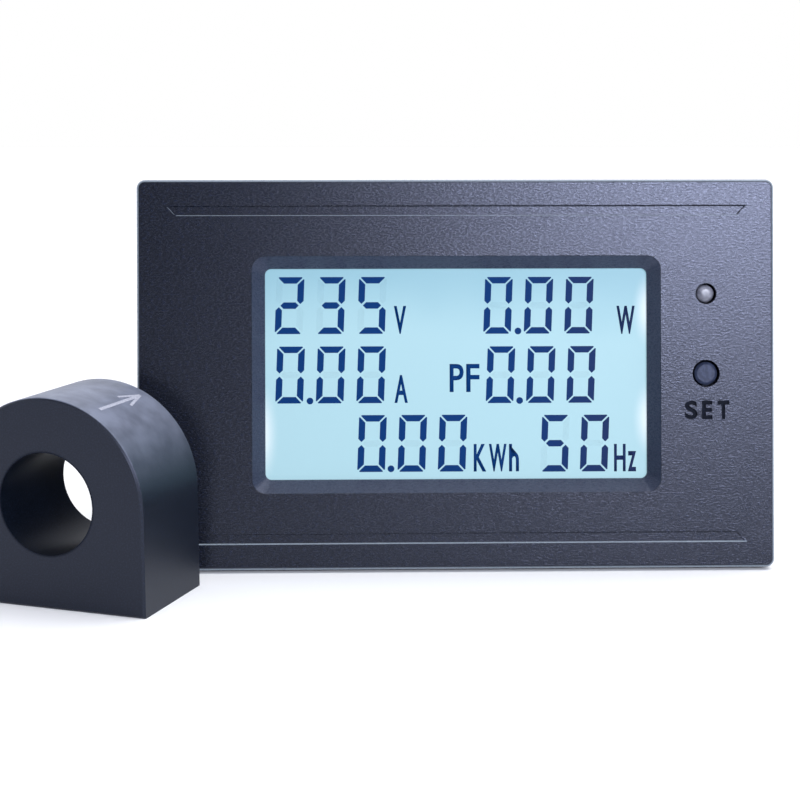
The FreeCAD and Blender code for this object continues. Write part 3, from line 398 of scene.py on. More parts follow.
def highlight_mask(material, split):
    """Mask of the painted highlight: the bezel's rounded rim and the trim lines' lower slopes, 1
    there.
    """
    flat = add_node(material, "CombineXYZ", {"X": split.outputs["X"], "Y": split.outputs["Z"]})
    folded = add_node(material, "VectorMath", {0: flat}, operation="ABSOLUTE")
    straight = (BEZEL_HALF[0] - RIM_CORNER, BEZEL_HALF[1] - RIM_CORNER, 0)
    past = add_node(material, "VectorMath", {0: folded, 1: straight}, operation="SUBTRACT")
    outside = add_node(material, "VectorMath", {0: past, 1: (0, 0, 0)}, operation="MAXIMUM")
    reach = add_node(material, "VectorMath", {0: outside}, operation="LENGTH")
    rim = add_node(material, "MapRange",
                   {"Value": reach, "From Min": RIM_CORNER - RIM_FADE[0],
                    "From Max": RIM_CORNER - RIM_FADE[1]}, **EASED)
    front = add_node(material, "MapRange",
                     {"Value": split.outputs["Y"], "From Min": RIM_DEPTH[0],
                      "From Max": RIM_DEPTH[1]}, **EASED)
    factor = add_node(material, "Math", {0: rim, 1: front}, operation="MULTIPLY")
    for box in HIGHLIGHTED_SLOPES:
        factor = add_node(material, "Math", {0: factor, 1: in_box(material, split, box)},
                          operation="MAXIMUM")
    return factor


def spark_textured_abs(colours):
    # Moulded ABS from a spark-eroded tool: matte, with fine crests lying mostly sideways, painted
    # paler as short glinting specks; a highlight is painted on the rim and on the trim lines' lower
    # slopes, and a reflection of the lit display is painted on the window's bevel as a slightly
    # lighter blue
    material = new_finish("spark_textured_abs", colours.case,
                          {"IOR": 1.53, "Specular Tint": linear(colours.sheen)})
    crests, fine = (grain(material, METER_AXES, size_mm, 2.0, (0.55, 1, 1.3))
                    for size_mm in (0.3, 0.13))
    both = add_node(material, "Math", {0: fine, 1: 0.5, 2: crests}, operation="MULTIPLY_ADD")
    # the crests are painted paler as glints, and are also smoother
    glint_tops = two_tone(material, both, 0.76, 0.98, colours.case, colours.case_speck_glint)
    rough_between(material, glint_tops, 0.28, 0.18)
    relief(material, both, 0.036, 0.85)
    split = add_node(material, "SeparateXYZ", {"Vector": own_axes(material, METER_AXES, TO_MM)})
    # painted reflection of the lit display on the window's bevel
    laid_over(material, in_box(material, split, WINDOW_BEVEL), colours.bevel_reflection)
    # painted highlight on the bezel's rim and on the trim lines' lower slopes
    laid_over(material, highlight_mask(material, split), colours.rim_highlight)
    return material


def smooth_abs():
    # The same ABS from a smooth tool: an even satin sheen with only a faint flow grain
    return moulded("smooth_moulded_abs", "#2b3247", "#3b435a", 0.5, 0.006, 0.46,
                   {"IOR": 1.53, "Specular IOR Level": 0.17})


def letter_floor():
    # The same ABS deep in the letters, where no spark grain stands up: a flat blue-black
    return moulded("ungrained_moulded_abs", "#0a0f1c", "#0f1524", 0.5, 0.002, 0.6,
                   {"IOR": 1.53, "Specular IOR Level": 0.08})


def clear_epoxy():
    # Cast epoxy: clear and glossy, slightly grey, with faint streaks from the cast
    material = new_finish("cast_clear_epoxy", "#a9aab6",
                          {"IOR": 1.5, "Transmission Weight": 0.3, "Specular IOR Level": 0.5})
    cells = grain(material, METER_AXES, 1.1, 1.0)
    two_tone(material, cells, 0.3, 0.7, "#6d6f7d", "#989aa7")
    rough_between(material, cells, 0.2, 0.3)
    return material


# The glow of each lamp beside the display: its middle and half length across, and then upwards, in
# millimetres
GLOWS = [((27.6, 2.6), (9.0, 6.0)), ((27.6, 2.6), (-6.5, 6.0)), ((-27.8, 2.6), (-8.5, 8.0))]


def lit_display(colours):
    # Polariser film over a backlit display: pale cyan, deeper along its top edge, with white glow
    # beside the lamps at its two sides
    material = new_finish("lit_polariser_film", colours.display_middle,
                          {"Specular IOR Level": 0.25, "Emission Strength": 0.72})
    in_mm = own_axes(material, METER_AXES, TO_MM)
    split = add_node(material, "SeparateXYZ", {"Vector": in_mm})
    # the clouds are about 11 mm wide, and move the edge of the deeper blue by 2.5 mm up or down
    cloud = add_node(material, "TexNoise", {"Vector": in_mm, "Scale": 0.09, "Detail": 1.0},
                     noise_dimensions="3D")
    sway = add_node(material, "Math", {0: cloud, 1: 5.0, 2: -2.5}, operation="MULTIPLY_ADD")
    wavy = add_node(material, "Math", {0: split.outputs["Z"], 1: sway}, operation="ADD")
    two_tone(material, wavy, 4.0, 16.5, colours.display_middle, colours.display_edge)
    for place in GLOWS:
        off = [add_node(material, "Math",
                        {0: split.outputs[axis], 1: 1 / half, 2: -middle / half},
                        operation="MULTIPLY_ADD") for axis, (middle, half) in zip("XZ", place)]
        flat = add_node(material, "CombineXYZ", {"X": off[0], "Y": off[1]})
        away = add_node(material, "VectorMath", {0: flat}, operation="LENGTH")
        glow = add_node(material, "MapRange",
                        {"Value": away, "From Min": 1.0, "From Max": 0.0, "To Max": 0.85},
                        **EASED)
        shade = laid_over(material, glow, colours.display_lamp)
    feed(material, {"Emission Color": shade})
    # most of the light is the display's own, so the film itself is dark
    laid_over(material, 0.75, "#1d2b33")
    rough_between(material, grain(material, METER_AXES, 0.2, 1.0), 0.34, 0.44)
    return material


def display_ink(name, colours, alpha):
    # Switched liquid crystal: deep blue and flat, a little violet to the right
    material = new_finish(name, colours.figures,
                          {"Roughness": 0.5, "Specular IOR Level": 0.05, "Alpha": alpha})
    split = add_node(material, "SeparateXYZ", {"Vector": own_axes(material, METER_AXES, TO_MM)})
    two_tone(material, split.outputs["X"], 4.0, 30.0, colours.figures, "#1f2a4c")
    return material


def ring_case_plastic(colours, arch_radius):
    # Moulded flame-retardant plastic: near black, with a fine even grain and a soft broad sheen
    # that fades in the bore, and a pale highlight painted in patches on the arch, stronger towards
    # its top
    material = new_finish("fine_grained_moulding", colours.ring_case,
                          {"IOR": 1.54, "Specular IOR Level": 0.35,
                           "Specular Tint": linear(colours.sheen)})
    cells = grain(material, RING_AXES, 0.22, 3.0)
    two_tone(material, cells, 0.42, 0.72, colours.ring_case, colours.ring_speck)
    rough_between(material, cells, 0.33, 0.46)
    relief(material, cells, 0.015, 0.5)
    radius_mm = arch_radius / MM
    bore_axis = (RING_PLACE + Vector((0, 0, arch_radius)), RING_AXES[1])
    from_axis = own_axes(material, bore_axis, (1000, 0, 1000))
    away = add_node(material, "VectorMath", {0: from_axis}, operation="LENGTH")
    on_arch = add_node(material, "MapRange",
                       {"Value": away, "From Min": radius_mm - 0.15, "From Max": radius_mm - 0.03},
                       **EASED)
    gloss = add_node(material, "MapRange",
                     {"Value": away, "From Min": BORE_RADIUS_MM, "From Max": BORE_RADIUS_MM + 0.4,
                      "To Min": 0.1, "To Max": 0.35}, **EASED)
    feed(material, {"Specular IOR Level": gloss})
    split = add_node(material, "SeparateXYZ", {"Vector": from_axis})
    # the painted highlight grows towards the top of the arch
    highlight = add_node(material, "MapRange",
                     {"Value": split.outputs["Z"], "From Min": 1.5, "From Max": radius_mm + 1.0,
                      "To Max": 0.9}, **EASED)
    both = add_node(material, "Math", {0: on_arch, 1: highlight}, operation="MULTIPLY")
    patchy = add_node(material, "MapRange",
                      {"Value": grain(material, RING_AXES, 3.0, 2.0), "From Min": 0.3,
                       "From Max": 0.7, "To Min": 0.6, "To Max": 1.0})
    arch_highlight = add_node(material, "Math", {0: both, 1: patchy}, operation="MULTIPLY")
    # painted highlight in patches on the arch
    laid_over(material, arch_highlight, colours.ring_arch_highlight)
    return material


def pad_printed_ink():
    # Pad-printed marking ink: matte light grey, slightly broken by the grain under it
    return moulded("pad_printed_ink", "#9c9eab", "#adafba", 0.3, 0.004, 0.6, piece=RING_AXES)


def terminal_nylon():
    # Glass-filled nylon: black and satin, mottled by the fibres near its skin
    return moulded("glass_filled_nylon", "#17181b", "#2a2b30", 0.4, 0.012, 0.5)


def zinc_plate():
    # Turned steel under bright zinc: cool silver with fine turning lines
    return drawn("zinc_plated_steel", "#8f9296", "#c3c6c9", (1, 6, 1), 0.35, 0.006, 0.32)


def black_steel():
    # Blackened steel: dark, oily satin with fine turning lines
    return drawn("blackened_steel", "#1d1e21", "#3a3c41", (1, 6, 1), 0.35, 0.006, 0.38)


def rolled_brass():
    # Rolled brass strip: warm yellow with fine rolling lines along the strip
    return drawn("rolled_brass", "#9a7a35", "#c8a455", (6, 1, 1), 0.3, 0.005, 0.3)


def tinned_wire():
    # Tinned steel wire: pale silver with fine drawing lines along the wire
    return drawn("tinned_wire", "#8d8f92", "#c9cbcd", (1, 0.2, 1), 0.2, 0.004, 0.3)


def potting_resin():
    # Poured black epoxy: glossy, with a gently uneven skin
    return moulded("poured_black_resin", "#101114", "#1c1d22", 3.0, 0.08, 0.22, {"IOR": 1.56},
                   RING_AXES)


def bush_rubber():
    # Moulded rubber: dull black with a bloom in its pores
    return moulded("moulded_rubber", "#141416", "#26272a", 0.25, 0.02, 0.75, piece=RING_AXES)


def core_strip():
    # Wound silicon steel strip: grey, with the strip's edges as fine rings
    return drawn("wound_steel_strip", "#4a4b50", "#77797e", (1, 8, 1), 0.8, 0.01, 0.45, RING_AXES)


def winding_wire():
    # Enamelled copper: glossy red-brown turns lying across the ring
    return drawn("enamelled_copper", "#7c3d1c", "#b5693a", (4, 0.5, 1), 0.6, 0.03, 0.25,
                 RING_AXES)


def display_glass():
    # Float glass: clear, faintly green, with the film of dust that handling leaves
    glass = new_finish("float_glass", "#dfeeea",
                       {"IOR": 1.52, "Transmission Weight": 1.0, "Roughness": 0.03})
    two_tone(glass, grain(glass, METER_AXES, 2.0, 2.0), 0.3, 0.8, "#dfeeea", "#f2f8f6")
    return glass


def floor_paper():
    # Matte white paper: even and without gloss
    return new_finish("white_paper", "#fafafa", {"Roughness": 0.9, "Specular IOR Level": 0.1})


# Shapes

# Points of a carried solid or a letter that are closer than this are one
MERGED = 0.001 * MM
# A point this close to the bezel's face or to a trim line's edge lies on it
ON_FACE = 0.02 * MM
# A point of a strip is at its end past this share of the strip's half length
AT_END = 0.99
# Steps of each stretch of a letter's outline
CURVE_STEPS = 5
# A bar's tips are blunted, and its corners cut back to a point, by these shares of its width
BLUNTED, POINTED = 0.2, 0.47
# Faces that meet at less than these angles are one: on a carried solid, and in a letter
ONE_FACE, ONE_STROKE = math.radians(0.3), math.radians(1)
# Faces that meet at less than this angle shade as one curve
CURVED = math.radians(35)
# Edges sharper than these are eased: of a moulded or turned piece, and of the indicator's steps
SHARP, STEPPED = math.radians(50), math.radians(12)
# How much a large face counts for the direction of a rounded edge: 50 is even, 100 is all
FACE_WEIGHT = 80


def alone(piece):
    """Select one piece and nothing else, and make it active."""
    bpy.ops.object.select_all(action="DESELECT")
    piece.select_set(True)
    bpy.context.view_layer.objects.active = piece


def added(operator, **settings):
    """Add a primitive or a text with nothing else selected."""
    bpy.ops.object.select_all(action="DESELECT")
    operator(**settings)
    return bpy.context.active_object


def named(piece, name):
    piece.name = name
    piece.data.name = name
    return piece


def modify(piece, kind, **settings):
    """Give a piece a modifier and apply it."""
    modifier = piece.modifiers.new(kind.lower(), kind)
    for name, value in settings.items():
        setattr(modifier, name, value)
    alone(piece)
    bpy.ops.object.modifier_apply(modifier=modifier.name)


def edit(piece, *steps):
    """Run steps on the whole of a piece's mesh in edit mode."""
    alone(piece)
    bpy.ops.object.mode_set(mode="EDIT")
    bpy.ops.mesh.select_all(action="SELECT")
    for step in steps:
        step()
    bpy.ops.object.mode_set(mode="OBJECT")


def shaped(piece, kind, wanted, step):
    """Run a step on the vertices or edges whose places on the piece pass a test."""
    alone(piece)
    bpy.ops.object.mode_set(mode="EDIT")
    bpy.ops.mesh.select_mode(type=kind)
    bpy.ops.mesh.select_all(action="DESELECT")
    bpy.ops.object.mode_set(mode="OBJECT")
    passed = [wanted(vertex.co) for vertex in piece.data.vertices]
    if kind == "VERT":
        for vertex in piece.data.vertices:
            vertex.select = passed[vertex.index]
    else:
        for edge in piece.data.edges:
            edge.select = all(passed[end] for end in edge.vertices)
    bpy.ops.object.mode_set(mode="EDIT")
    step()
    bpy.ops.mesh.select_mode(type="VERT")
    bpy.ops.object.mode_set(mode="OBJECT")


def recalculate():
    bpy.ops.mesh.normals_make_consistent(inside=False)


def settle(piece, place):
    """Carry a piece's mesh to its place in the row's frame and leave its object at the origin."""
    bpy.context.view_layer.update()
    piece.data.transform(place @ piece.matrix_world)
    piece.matrix_world = Matrix.Identity(4)


def joined(pieces, name):
    """Join pieces to one with its place in its mesh."""
    bpy.ops.object.select_all(action="DESELECT")
    for piece in pieces:
        piece.select_set(True)
    bpy.context.view_layer.objects.active = pieces[0]
    bpy.ops.object.join()
    whole = bpy.context.view_layer.objects.active
    bpy.ops.object.transform_apply(location=True, rotation=True, scale=True)
    return named(whole, name)


def own_copy(piece, x, y, quarters, mirrored):
    """Copy a flat piece with a mesh of its own, moved and turned by quarters on its sheet."""
    twin = piece.copy()
    twin.data = piece.data.copy()
    bpy.context.scene.collection.objects.link(twin)
    twin.location = (x, y, 0)
    twin.rotation_euler = (0, 0, quarters * math.pi / 2)
    twin.scale = (-1 if mirrored else 1, 1, 1)
    return twin


def paint(piece, material):
    piece.data.materials.clear()
    piece.data.materials.append(material)


def finish_node(node, material):
    """Give a carried solid its material."""
    paint(frame["nodes"][node], material)


def smoothed(piece):
    """Shade curves as round, while large flat faces keep their own direction."""
    alone(piece)
    bpy.ops.object.shade_smooth_by_angle(angle=CURVED)
    modify(piece, "WEIGHTED_NORMAL", mode="FACE_AREA", weight=FACE_WEIGHT, keep_sharp=True)


def refined(node, name, material, ease):
    """Copy a carried solid, merge its loose triangles and ease its sharp edges."""
    piece = named(bpy.data.objects.new(name, frame["nodes"][node].data.copy()), name)
    bpy.context.scene.collection.objects.link(piece)
    paint(piece, material)
    edit(piece,
         lambda: bpy.ops.mesh.remove_doubles(threshold=MERGED),
         lambda: bpy.ops.mesh.dissolve_limited(angle_limit=ONE_FACE))
    alone(piece)
    bpy.ops.mesh.customdata_custom_splitnormals_clear()
    if ease > 0:
        modify(piece, "BEVEL", width=ease, segments=2, limit_method="ANGLE",
               angle_limit=SHARP, use_clamp_overlap=True, miter_outer="MITER_ARC")
    smoothed(piece)
    return piece


def hand_over(piece, node, body):
    """Let a finished piece stand for a carried solid."""
    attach(piece, body)
    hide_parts(node)


def lettering(text, width, height, weight):
    """A flat mesh of letters whose lower left corner is at the origin, at a set width and height.
    Weight is what each side of a stroke grows by."""
    words = added(bpy.ops.object.text_add)
    words.data.body = text
    words.data.resolution_u = CURVE_STEPS
    bpy.ops.object.convert(target="CURVE")
    words = bpy.context.active_object
    low, high = (Vector(corner(point.co[i] for spline in words.data.splines
                               for point in spline.bezier_points) for i in range(3))
                 for corner in (min, max))
    stretch = ((width - 2 * weight) / (high.x - low.x), (height - 2 * weight) / (high.y - low.y))
    words.data.transform(Matrix.Translation((weight, weight, 0))
                         @ Matrix.Diagonal((*stretch, 1, 1)) @ Matrix.Translation(-low))
    words.data.offset = weight
    alone(words)
    bpy.ops.object.convert(target="MESH")
    words = bpy.context.active_object
    edit(words,
         lambda: bpy.ops.mesh.remove_doubles(threshold=MERGED),
         lambda: bpy.ops.mesh.beautify_fill(angle_limit=math.pi),
         lambda: bpy.ops.mesh.dissolve_limited(angle_limit=ONE_STROKE))
    return words


def written(words, weight):
    """Lay flat letters on a sheet: each word is text, left edge, bottom edge, width and height."""
    letters = []
    for text, x, y, width, height in words:
        letter = lettering(text, width, height, weight)
        letter.location = (x, y, 0)
        letters.append(letter)
    return letters


def sunk(piece, sheet, depth, letters, floor):
    """Cut flat letters into a piece, and give what the cut bares the floor's material."""
    cutter = joined(letters, "letter_cutter")
    modify(cutter, "SOLIDIFY", thickness=2 * depth, offset=0.0)
    edit(cutter, recalculate)
    settle(cutter, sheet)
    paint(cutter, floor)
    modify(piece, "BOOLEAN", operation="DIFFERENCE", object=cutter, solver="EXACT",
           material_mode="TRANSFER")
    bpy.data.objects.remove(cutter)


def strip(length, width):
    """A flat strip lying along X."""
    piece = added(bpy.ops.mesh.primitive_plane_add, size=1)
    piece.scale = (length, width, 1)
    bpy.ops.object.transform_apply(location=False, rotation=False, scale=True)
    return piece


def mitred(piece, thick, side):
    """Cut one end of a strip at half a right angle, towards its long edge, and blunt the point."""
    end = max(vertex.co.x * side for vertex in piece.data.vertices)
    shaped(piece, "VERT", lambda co: co.x * side > AT_END * end and co.y < 0,
           lambda: bpy.ops.transform.translate(value=(-side * thick, 0, 0)))
    shaped(piece, "VERT", lambda co: co.x * side > AT_END * end and co.y > 0,
           lambda: bpy.ops.mesh.bevel(offset=BLUNTED * thick, affect="VERTICES"))


def pointed(piece, thick, sides):
    """Cut the corners of one or both ends of a strip back to a point."""
    end = max(vertex.co.x for vertex in piece.data.vertices)
    shaped(piece, "VERT", lambda co: any(co.x * side > AT_END * end for side in sides),
           lambda: bpy.ops.mesh.bevel(offset=POINTED * thick, affect="VERTICES"))


def digit_kit(sizes):
    """Make the three kinds of bar, and give each bar's kind, middle, quarter turns, mirroring."""
    width, height, thick = sizes.digit_width, sizes.digit_height, sizes.bar_width
    level = strip(width - 2 * sizes.bar_gap, thick)
    mitred(level, thick, 1)
    mitred(level, thick, -1)
    upright = strip(height / 2 - sizes.bar_gap - sizes.tip_gap, thick)
    pointed(upright, thick, (1,))
    mitred(upright, thick, -1)
    middle = strip(width - thick - 2 * sizes.tip_gap, thick)
    pointed(middle, thick, (1, -1))
    left, right = thick / 2, width - thick / 2
    upper = (height * 3 / 2 - sizes.bar_gap + sizes.tip_gap) / 2
    lower = height - upper
    places = {"a": (level, width / 2, height - thick / 2, 0, False),
              "b": (upright, right, upper, -1, False),
              "c": (upright, right, lower, -1, True),
              "d": (level, width / 2, thick / 2, 2, False),
              "e": (upright, left, lower, 1, False),
              "f": (upright, left, upper, 1, True),
              "g": (middle, width / 2, height / 2, 0, False)}
    return [level, upright, middle], places


def digit_bars(sizes, lit):
    """All lit or all unlit bars of the display's digits, as flat pieces on the bezel's sheet."""
    kinds, places = digit_kit(sizes)
    lean = Matrix.Identity(4)
    lean[0][1] = math.tan(sizes.digit_slant)
    bars = []
    for characters, left, top, step in DIGIT_ROWS:
        for column, character in enumerate(characters):
            wanted = LIT_BARS[character] if lit else set(ALL_BARS) - set(LIT_BARS[character])
            digit = joined([own_copy(*places[letter]) for letter in sorted(wanted)], "digit")
            digit.data.transform(lean)
            digit.location = ((left + column * step) * MM, top * MM - sizes.digit_height, 0)
            bars.append(digit)
    for kind in kinds:
        bpy.data.objects.remove(kind)
    return bars


def decimal_points(sizes):
    return [added(bpy.ops.mesh.primitive_circle_add, vertices=24, fill_type="NGON",
                  radius=sizes.point_diameter / 2, location=(x * MM, y * MM, 0))
            for x, y in DECIMAL_POINTS]


def display_film(pieces, name, sizes, material):
    """Give flat figures their thickness and lay them on the display's face."""
    film = joined(pieces, name)
    modify(film, "SOLIDIFY", thickness=sizes.film_thickness, offset=0.0)
    edit(film, recalculate)
    # the middle of the film, so that it stands one thickness clear of the display's face
    film.location.z = -sizes.display_depth + 1.5 * sizes.film_thickness
    settle(film, BEZEL_SHEET)
    paint(film, material)
    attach(film, "meter")


# Distance of each trim line's two edges from the middle of the bezel, up or down
TRIM_LINE_EDGES = (23.7 * MM, 22.5 * MM)
# The part of the bezel that holds the two holes and the letters: left, right, bottom and top
BUTTON_COLUMN = (31.5 * MM, 39.5 * MM, -8.0 * MM, 14.0 * MM)
# The letters under the button: letter, left edge and width in millimetres, and their base
SET_LETTERS = [("S", 32.27, 1.74), ("E", 34.72, 1.42), ("T", 36.92, 1.60)]
SET_BASE = -6.45 * MM


def on_trim_line(place):
    """Whether a point lies on the rim of a trim line, above or below the window."""
    depth, height = (METER.inverted() @ place).yz
    return abs(depth) < ON_FACE and any(abs(abs(height) - edge) < ON_FACE
                                        for edge in TRIM_LINE_EDGES)


def on_button_column(place):
    """Whether a point lies on the bezel's face at the rim of a hole or a sunk letter."""
    x, depth, height = METER.inverted() @ place
    left, right, bottom, top = BUTTON_COLUMN
    return abs(depth) < ON_FACE and left < x < right and bottom < height < top


class METER_OT_front_shell(bpy.types.Operator):
    """Finish the moulded bezel and case, with the letters sunk under the button"""
    bl_idname = "meter.front_shell"
    bl_label = "Bezel and case"

    def execute(self, context):
        sizes = context.scene.meter_sizes
        grained = spark_textured_abs(context.scene.meter_colours)
        shell = refined("front_shell", "bezel_shell", grained, 0)
        words = [(letter, left * MM, SET_BASE, width * MM, sizes.letter_height)
                 for letter, left, width in SET_LETTERS]
        sunk(shell, BEZEL_SHEET, sizes.letter_depth, written(words, sizes.letter_weight),
             letter_floor())
        shaped(shell, "EDGE", on_trim_line,
               lambda: bpy.ops.mesh.bevel(offset=sizes.line_slope, segments=3, affect="EDGES"))
        shaped(shell, "EDGE", on_button_column,
               lambda: bpy.ops.mesh.bevel(offset=sizes.rim_ease, segments=2, affect="EDGES",
                                          clamp_overlap=True))
        smoothed(shell)
        hand_over(shell, "front_shell", "meter")
        return {"FINISHED"}


class METER_OT_button(bpy.types.Operator):
    """Finish the round button and the switch behind it"""
    bl_idname = "meter.button"
    bl_label = "Button"

    def execute(self, context):
        moulding = smooth_abs()
        cap = refined("set_button", "set_button_cap", moulding,
                      context.scene.meter_sizes.edge_ease)
        hand_over(cap, "set_button", "button")
        finish_node("switch_plunger", moulding)
        return {"FINISHED"}


class METER_OT_indicator(bpy.types.Operator):
    """Finish the clear indicator and show the lead frame inside it"""
    bl_idname = "meter.indicator"
    bl_label = "Indicator"

    def execute(self, context):
        lens = refined("indicator_lens", "indicator_dome", clear_epoxy(), 0)
        modify(lens, "BEVEL", width=context.scene.meter_sizes.dome_ease, segments=4,
               limit_method="ANGLE", angle_limit=STEPPED, use_clamp_overlap=True)
        smoothed(lens)
        hand_over(lens, "indicator_lens", "meter")
        finish_node("indicator_leads", tinned_wire())
        return {"FINISHED"}


class METER_OT_display(bpy.types.Operator):
    """Light the display and lay its figures on it"""
    bl_idname = "meter.display"
    bl_label = "Display"

    def execute(self, context):
        sizes = context.scene.meter_sizes
        colours = context.scene.meter_colours
        finish_node("lcd_front_polariser", lit_display(colours))
        ink = display_ink("switched_liquid_crystal", colours, 1.0)
        ghost = display_ink("resting_liquid_crystal", colours, 0.02)
        display_film(digit_bars(sizes, True) + decimal_points(sizes), "display_figures", sizes, ink)
        display_film(digit_bars(sizes, False), "display_resting_bars", sizes, ghost)
        signs = [(sign, *(number * MM for number in place)) for sign, *place in UNIT_SIGNS]
        display_film(written(signs, sizes.sign_weight), "display_units", sizes, ink)
        return {"FINISHED"}


# The sunk terminal numbers 1 to 4: their widths, the step from pole to pole, and their base
NUMERAL_WIDTHS = (0.42 * MM, 1.3 * MM, 1.3 * MM, 1.5 * MM)
POLE_PITCH = 9.0 * MM
NUMERAL_BASE = -5.6 * MM


class METER_OT_rear(bpy.types.Operator):
    """Finish the back cover with its terminal numbers, and its screws"""
    bl_idname = "meter.rear"
    bl_label = "Back cover"

    def execute(self, context):
        sizes = context.scene.meter_sizes
        cover = refined("back_cover", "rear_cover", bpy.data.materials["spark_textured_abs"], 0)
        middle = (len(NUMERAL_WIDTHS) - 1) / 2
        numerals = [(str(count + 1), (middle - count) * POLE_PITCH - width / 2, NUMERAL_BASE,
                     width, sizes.numeral_height) for count, width in enumerate(NUMERAL_WIDTHS)]
        sunk(cover, COVER_SHEET, sizes.numeral_depth, written(numerals, 0.0),
             bpy.data.materials["ungrained_moulded_abs"])
        smoothed(cover)
        hand_over(cover, "back_cover", "meter")
        heads = refined("cover_screws", "cover_screw_heads", black_steel(), sizes.edge_ease)
        hand_over(heads, "cover_screws", "meter")
        return {"FINISHED"}


class METER_OT_terminals(bpy.types.Operator):
    """Finish the terminal block, its plates, washers and screws"""
    bl_idname = "meter.terminals"
    bl_label = "Terminals"

    def execute(self, context):
        ease = context.scene.meter_sizes.edge_ease
        finish_node("terminal_block", terminal_nylon())
        finish_node("terminal_plates", rolled_brass())
        plated = zinc_plate()
        for pole in (1, 2, 3, 4):
            finish_node(f"clamp_washer_{pole}", plated)
            node = f"terminal_screw_{pole}"
            screw = refined(node, f"binding_screw_{pole}", plated, 2 * ease)
            hand_over(screw, node, f"screw_{pole}")
        return {"FINISHED"}


class METER_OT_inside(bpy.types.Operator):
    """Finish what the closed case holds"""
    bl_idname = "meter.inside"
    bl_label = "Inside"

    def execute(self, context):
        finishes = [
            (display_glass(), "lcd_front_glass", "lcd_rear_glass"),
            # Polariser film: smooth grey-green plastic sheet
            (moulded("polariser_sheet", "#6d7a7c", "#7d8a8c", 2.0, 0.002, 0.25),
             "lcd_rear_polariser"),
            # Diffuser film: matte white plastic
            (moulded("diffuser_sheet", "#e6ebee", "#f4f7f8", 0.1, 0.004, 0.7), "diffuser_film"),
            # Moulded white plastic: bright and satin, so that none of the display's light is lost
            (moulded("white_moulding", "#d9dbd8", "#eceeec", 0.5, 0.006, 0.5),
             "reflector_film", "backlight_leds", "lcd_carrier"),
            # Cast acrylic: clear, with a faint blue edge and printed dots on its back
            (moulded("cast_acrylic", "#d5e6ee", "#e9f3f7", 0.8, 0.003, 0.12,
                     {"IOR": 1.49, "Transmission Weight": 0.6}), "light_guide"),
            # Layered conductive rubber: fine grey stripes along the strip
            (moulded("layered_rubber", "#35363a", "#7a7b7e", 0.6, 0.01, 0.7, stretch=(8, 1, 1)),
             "contact_strips"),
            # Glass-epoxy laminate under green mask: its woven cloth shows as a faint square mottle
            (moulded("masked_laminate", "#0c4a2a", "#15653a", 0.5, 0.01, 0.4), "main_board"),
            # Moulded chip epoxy: dull black with a fine even grain
            (moulded("chip_epoxy", "#17171a", "#242428", 0.15, 0.006, 0.6),
             "switch_body", "microcontroller", "metering_chip", "bridge_rectifier",
             "chip_resistors"),
            (zinc_plate(), "board_screws"),
            # Drawn nickel silver and drawn aluminium: pale metals with fine drawing lines
            (drawn("drawn_nickel_silver", "#9fa09c", "#c8c9c4", (1, 5, 1), 0.4, 0.004, 0.28),
             "crystal"),
            (drawn("drawn_aluminium", "#a9abad", "#d0d2d4", (1, 5, 1), 0.4, 0.004, 0.35),
             "electrolytic_capacitors"),
            # Moulded box: glossy mustard plastic
            (moulded("capacitor_box", "#a5821f", "#bf9a2e", 1.2, 0.01, 0.3), "film_capacitor"),
            # Dipped epoxy powder: glossy blue with an orange-peel skin
            (moulded("dipped_epoxy", "#143f8a", "#1f54a8", 0.8, 0.03, 0.28), "varistor"),
            # Fired cement coat: dull green with grit
            (moulded("cement_coat", "#4d7a5c", "#659474", 0.3, 0.02, 0.8), "fuse_resistor"),
        ]
        for material, *nodes in finishes:
            for node in nodes:
                finish_node(node, material)
        return {"FINISHED"}


class METER_OT_transformer(bpy.types.Operator):
    """Finish the ring transformer's case, core, winding, resin and bush"""
    bl_idname = "meter.transformer"
    bl_label = "Ring transformer"

    def execute(self, context):
        plastic = ring_case_plastic(context.scene.meter_colours,
                                    context.scene.transformer_sizes.arch_radius)
        case = refined("transformer_case", "ring_case", plastic, 0)
        hand_over(case, "transformer_case", "transformer")
        finish_node("transformer_resin", potting_resin())
        finish_node("lead_bush", bush_rubber())
        finish_node("transformer_core", core_strip())
        finish_node("transformer_winding", winding_wire())
        return {"FINISHED"}


class METER_OT_arrow(bpy.types.Operator):
    """Print the direction arrow round the arch of the transformer's case"""
    bl_idname = "meter.arrow"
    bl_label = "Direction arrow"

    def execute(self, context):
        sizes = context.scene.transformer_sizes
        shaft = strip(sizes.arrow_line, sizes.arrow_length)
        shaft.location.y = sizes.arrow_length / 2
        strokes = [shaft]
        # each barb runs from the tip to half the head's width, a little thinner than the shaft
        half, head = sizes.arrow_width / 2, sizes.arrow_head
        for side in (1, -1):
            barb = strip(0.8 * sizes.arrow_line, math.hypot(head, half))
            barb.location = (side * half / 2, sizes.arrow_length - head / 2, 0)
            barb.rotation_euler.z = side * math.atan2(half, head)
            strokes.append(barb)
        arrow = joined(strokes, "direction_arrow")
        edit(arrow, lambda: bpy.ops.mesh.subdivide(number_cuts=3))
        modify(arrow, "SOLIDIFY", thickness=sizes.ink, offset=0.0)
        edit(arrow, recalculate)
        # bend the flat arrow round the arch, clear of it by a tenth of the ink's thickness
        radius = sizes.arch_radius + 0.6 * sizes.ink
        for vertex in arrow.data.vertices:
            x, y, out = vertex.co
            angle = (sizes.arrow_around + x) / sizes.arch_radius
            reach = radius + out
            vertex.co = (reach * math.sin(angle), sizes.arrow_front + y,
                         sizes.arch_radius + reach * math.cos(angle))
        settle(arrow, RING)
        edit(arrow, recalculate)
        paint(arrow, pad_printed_ink())
        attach(arrow, "transformer")
        return {"FINISHED"}


# The stage, in metres: the floor's side, where the two lamps stand, the key light's two sides, and
# the point that both lamps are aimed at
FLOOR_SIDE = 6
OVERHEAD_PLACE = (0.4, 0.0, 1.0)
KEY_PLACE = (0.215, -0.65, 0.265)
KEY_SIZE = (0.3, 0.16)
AIM = Vector((0, 0, 0.03))
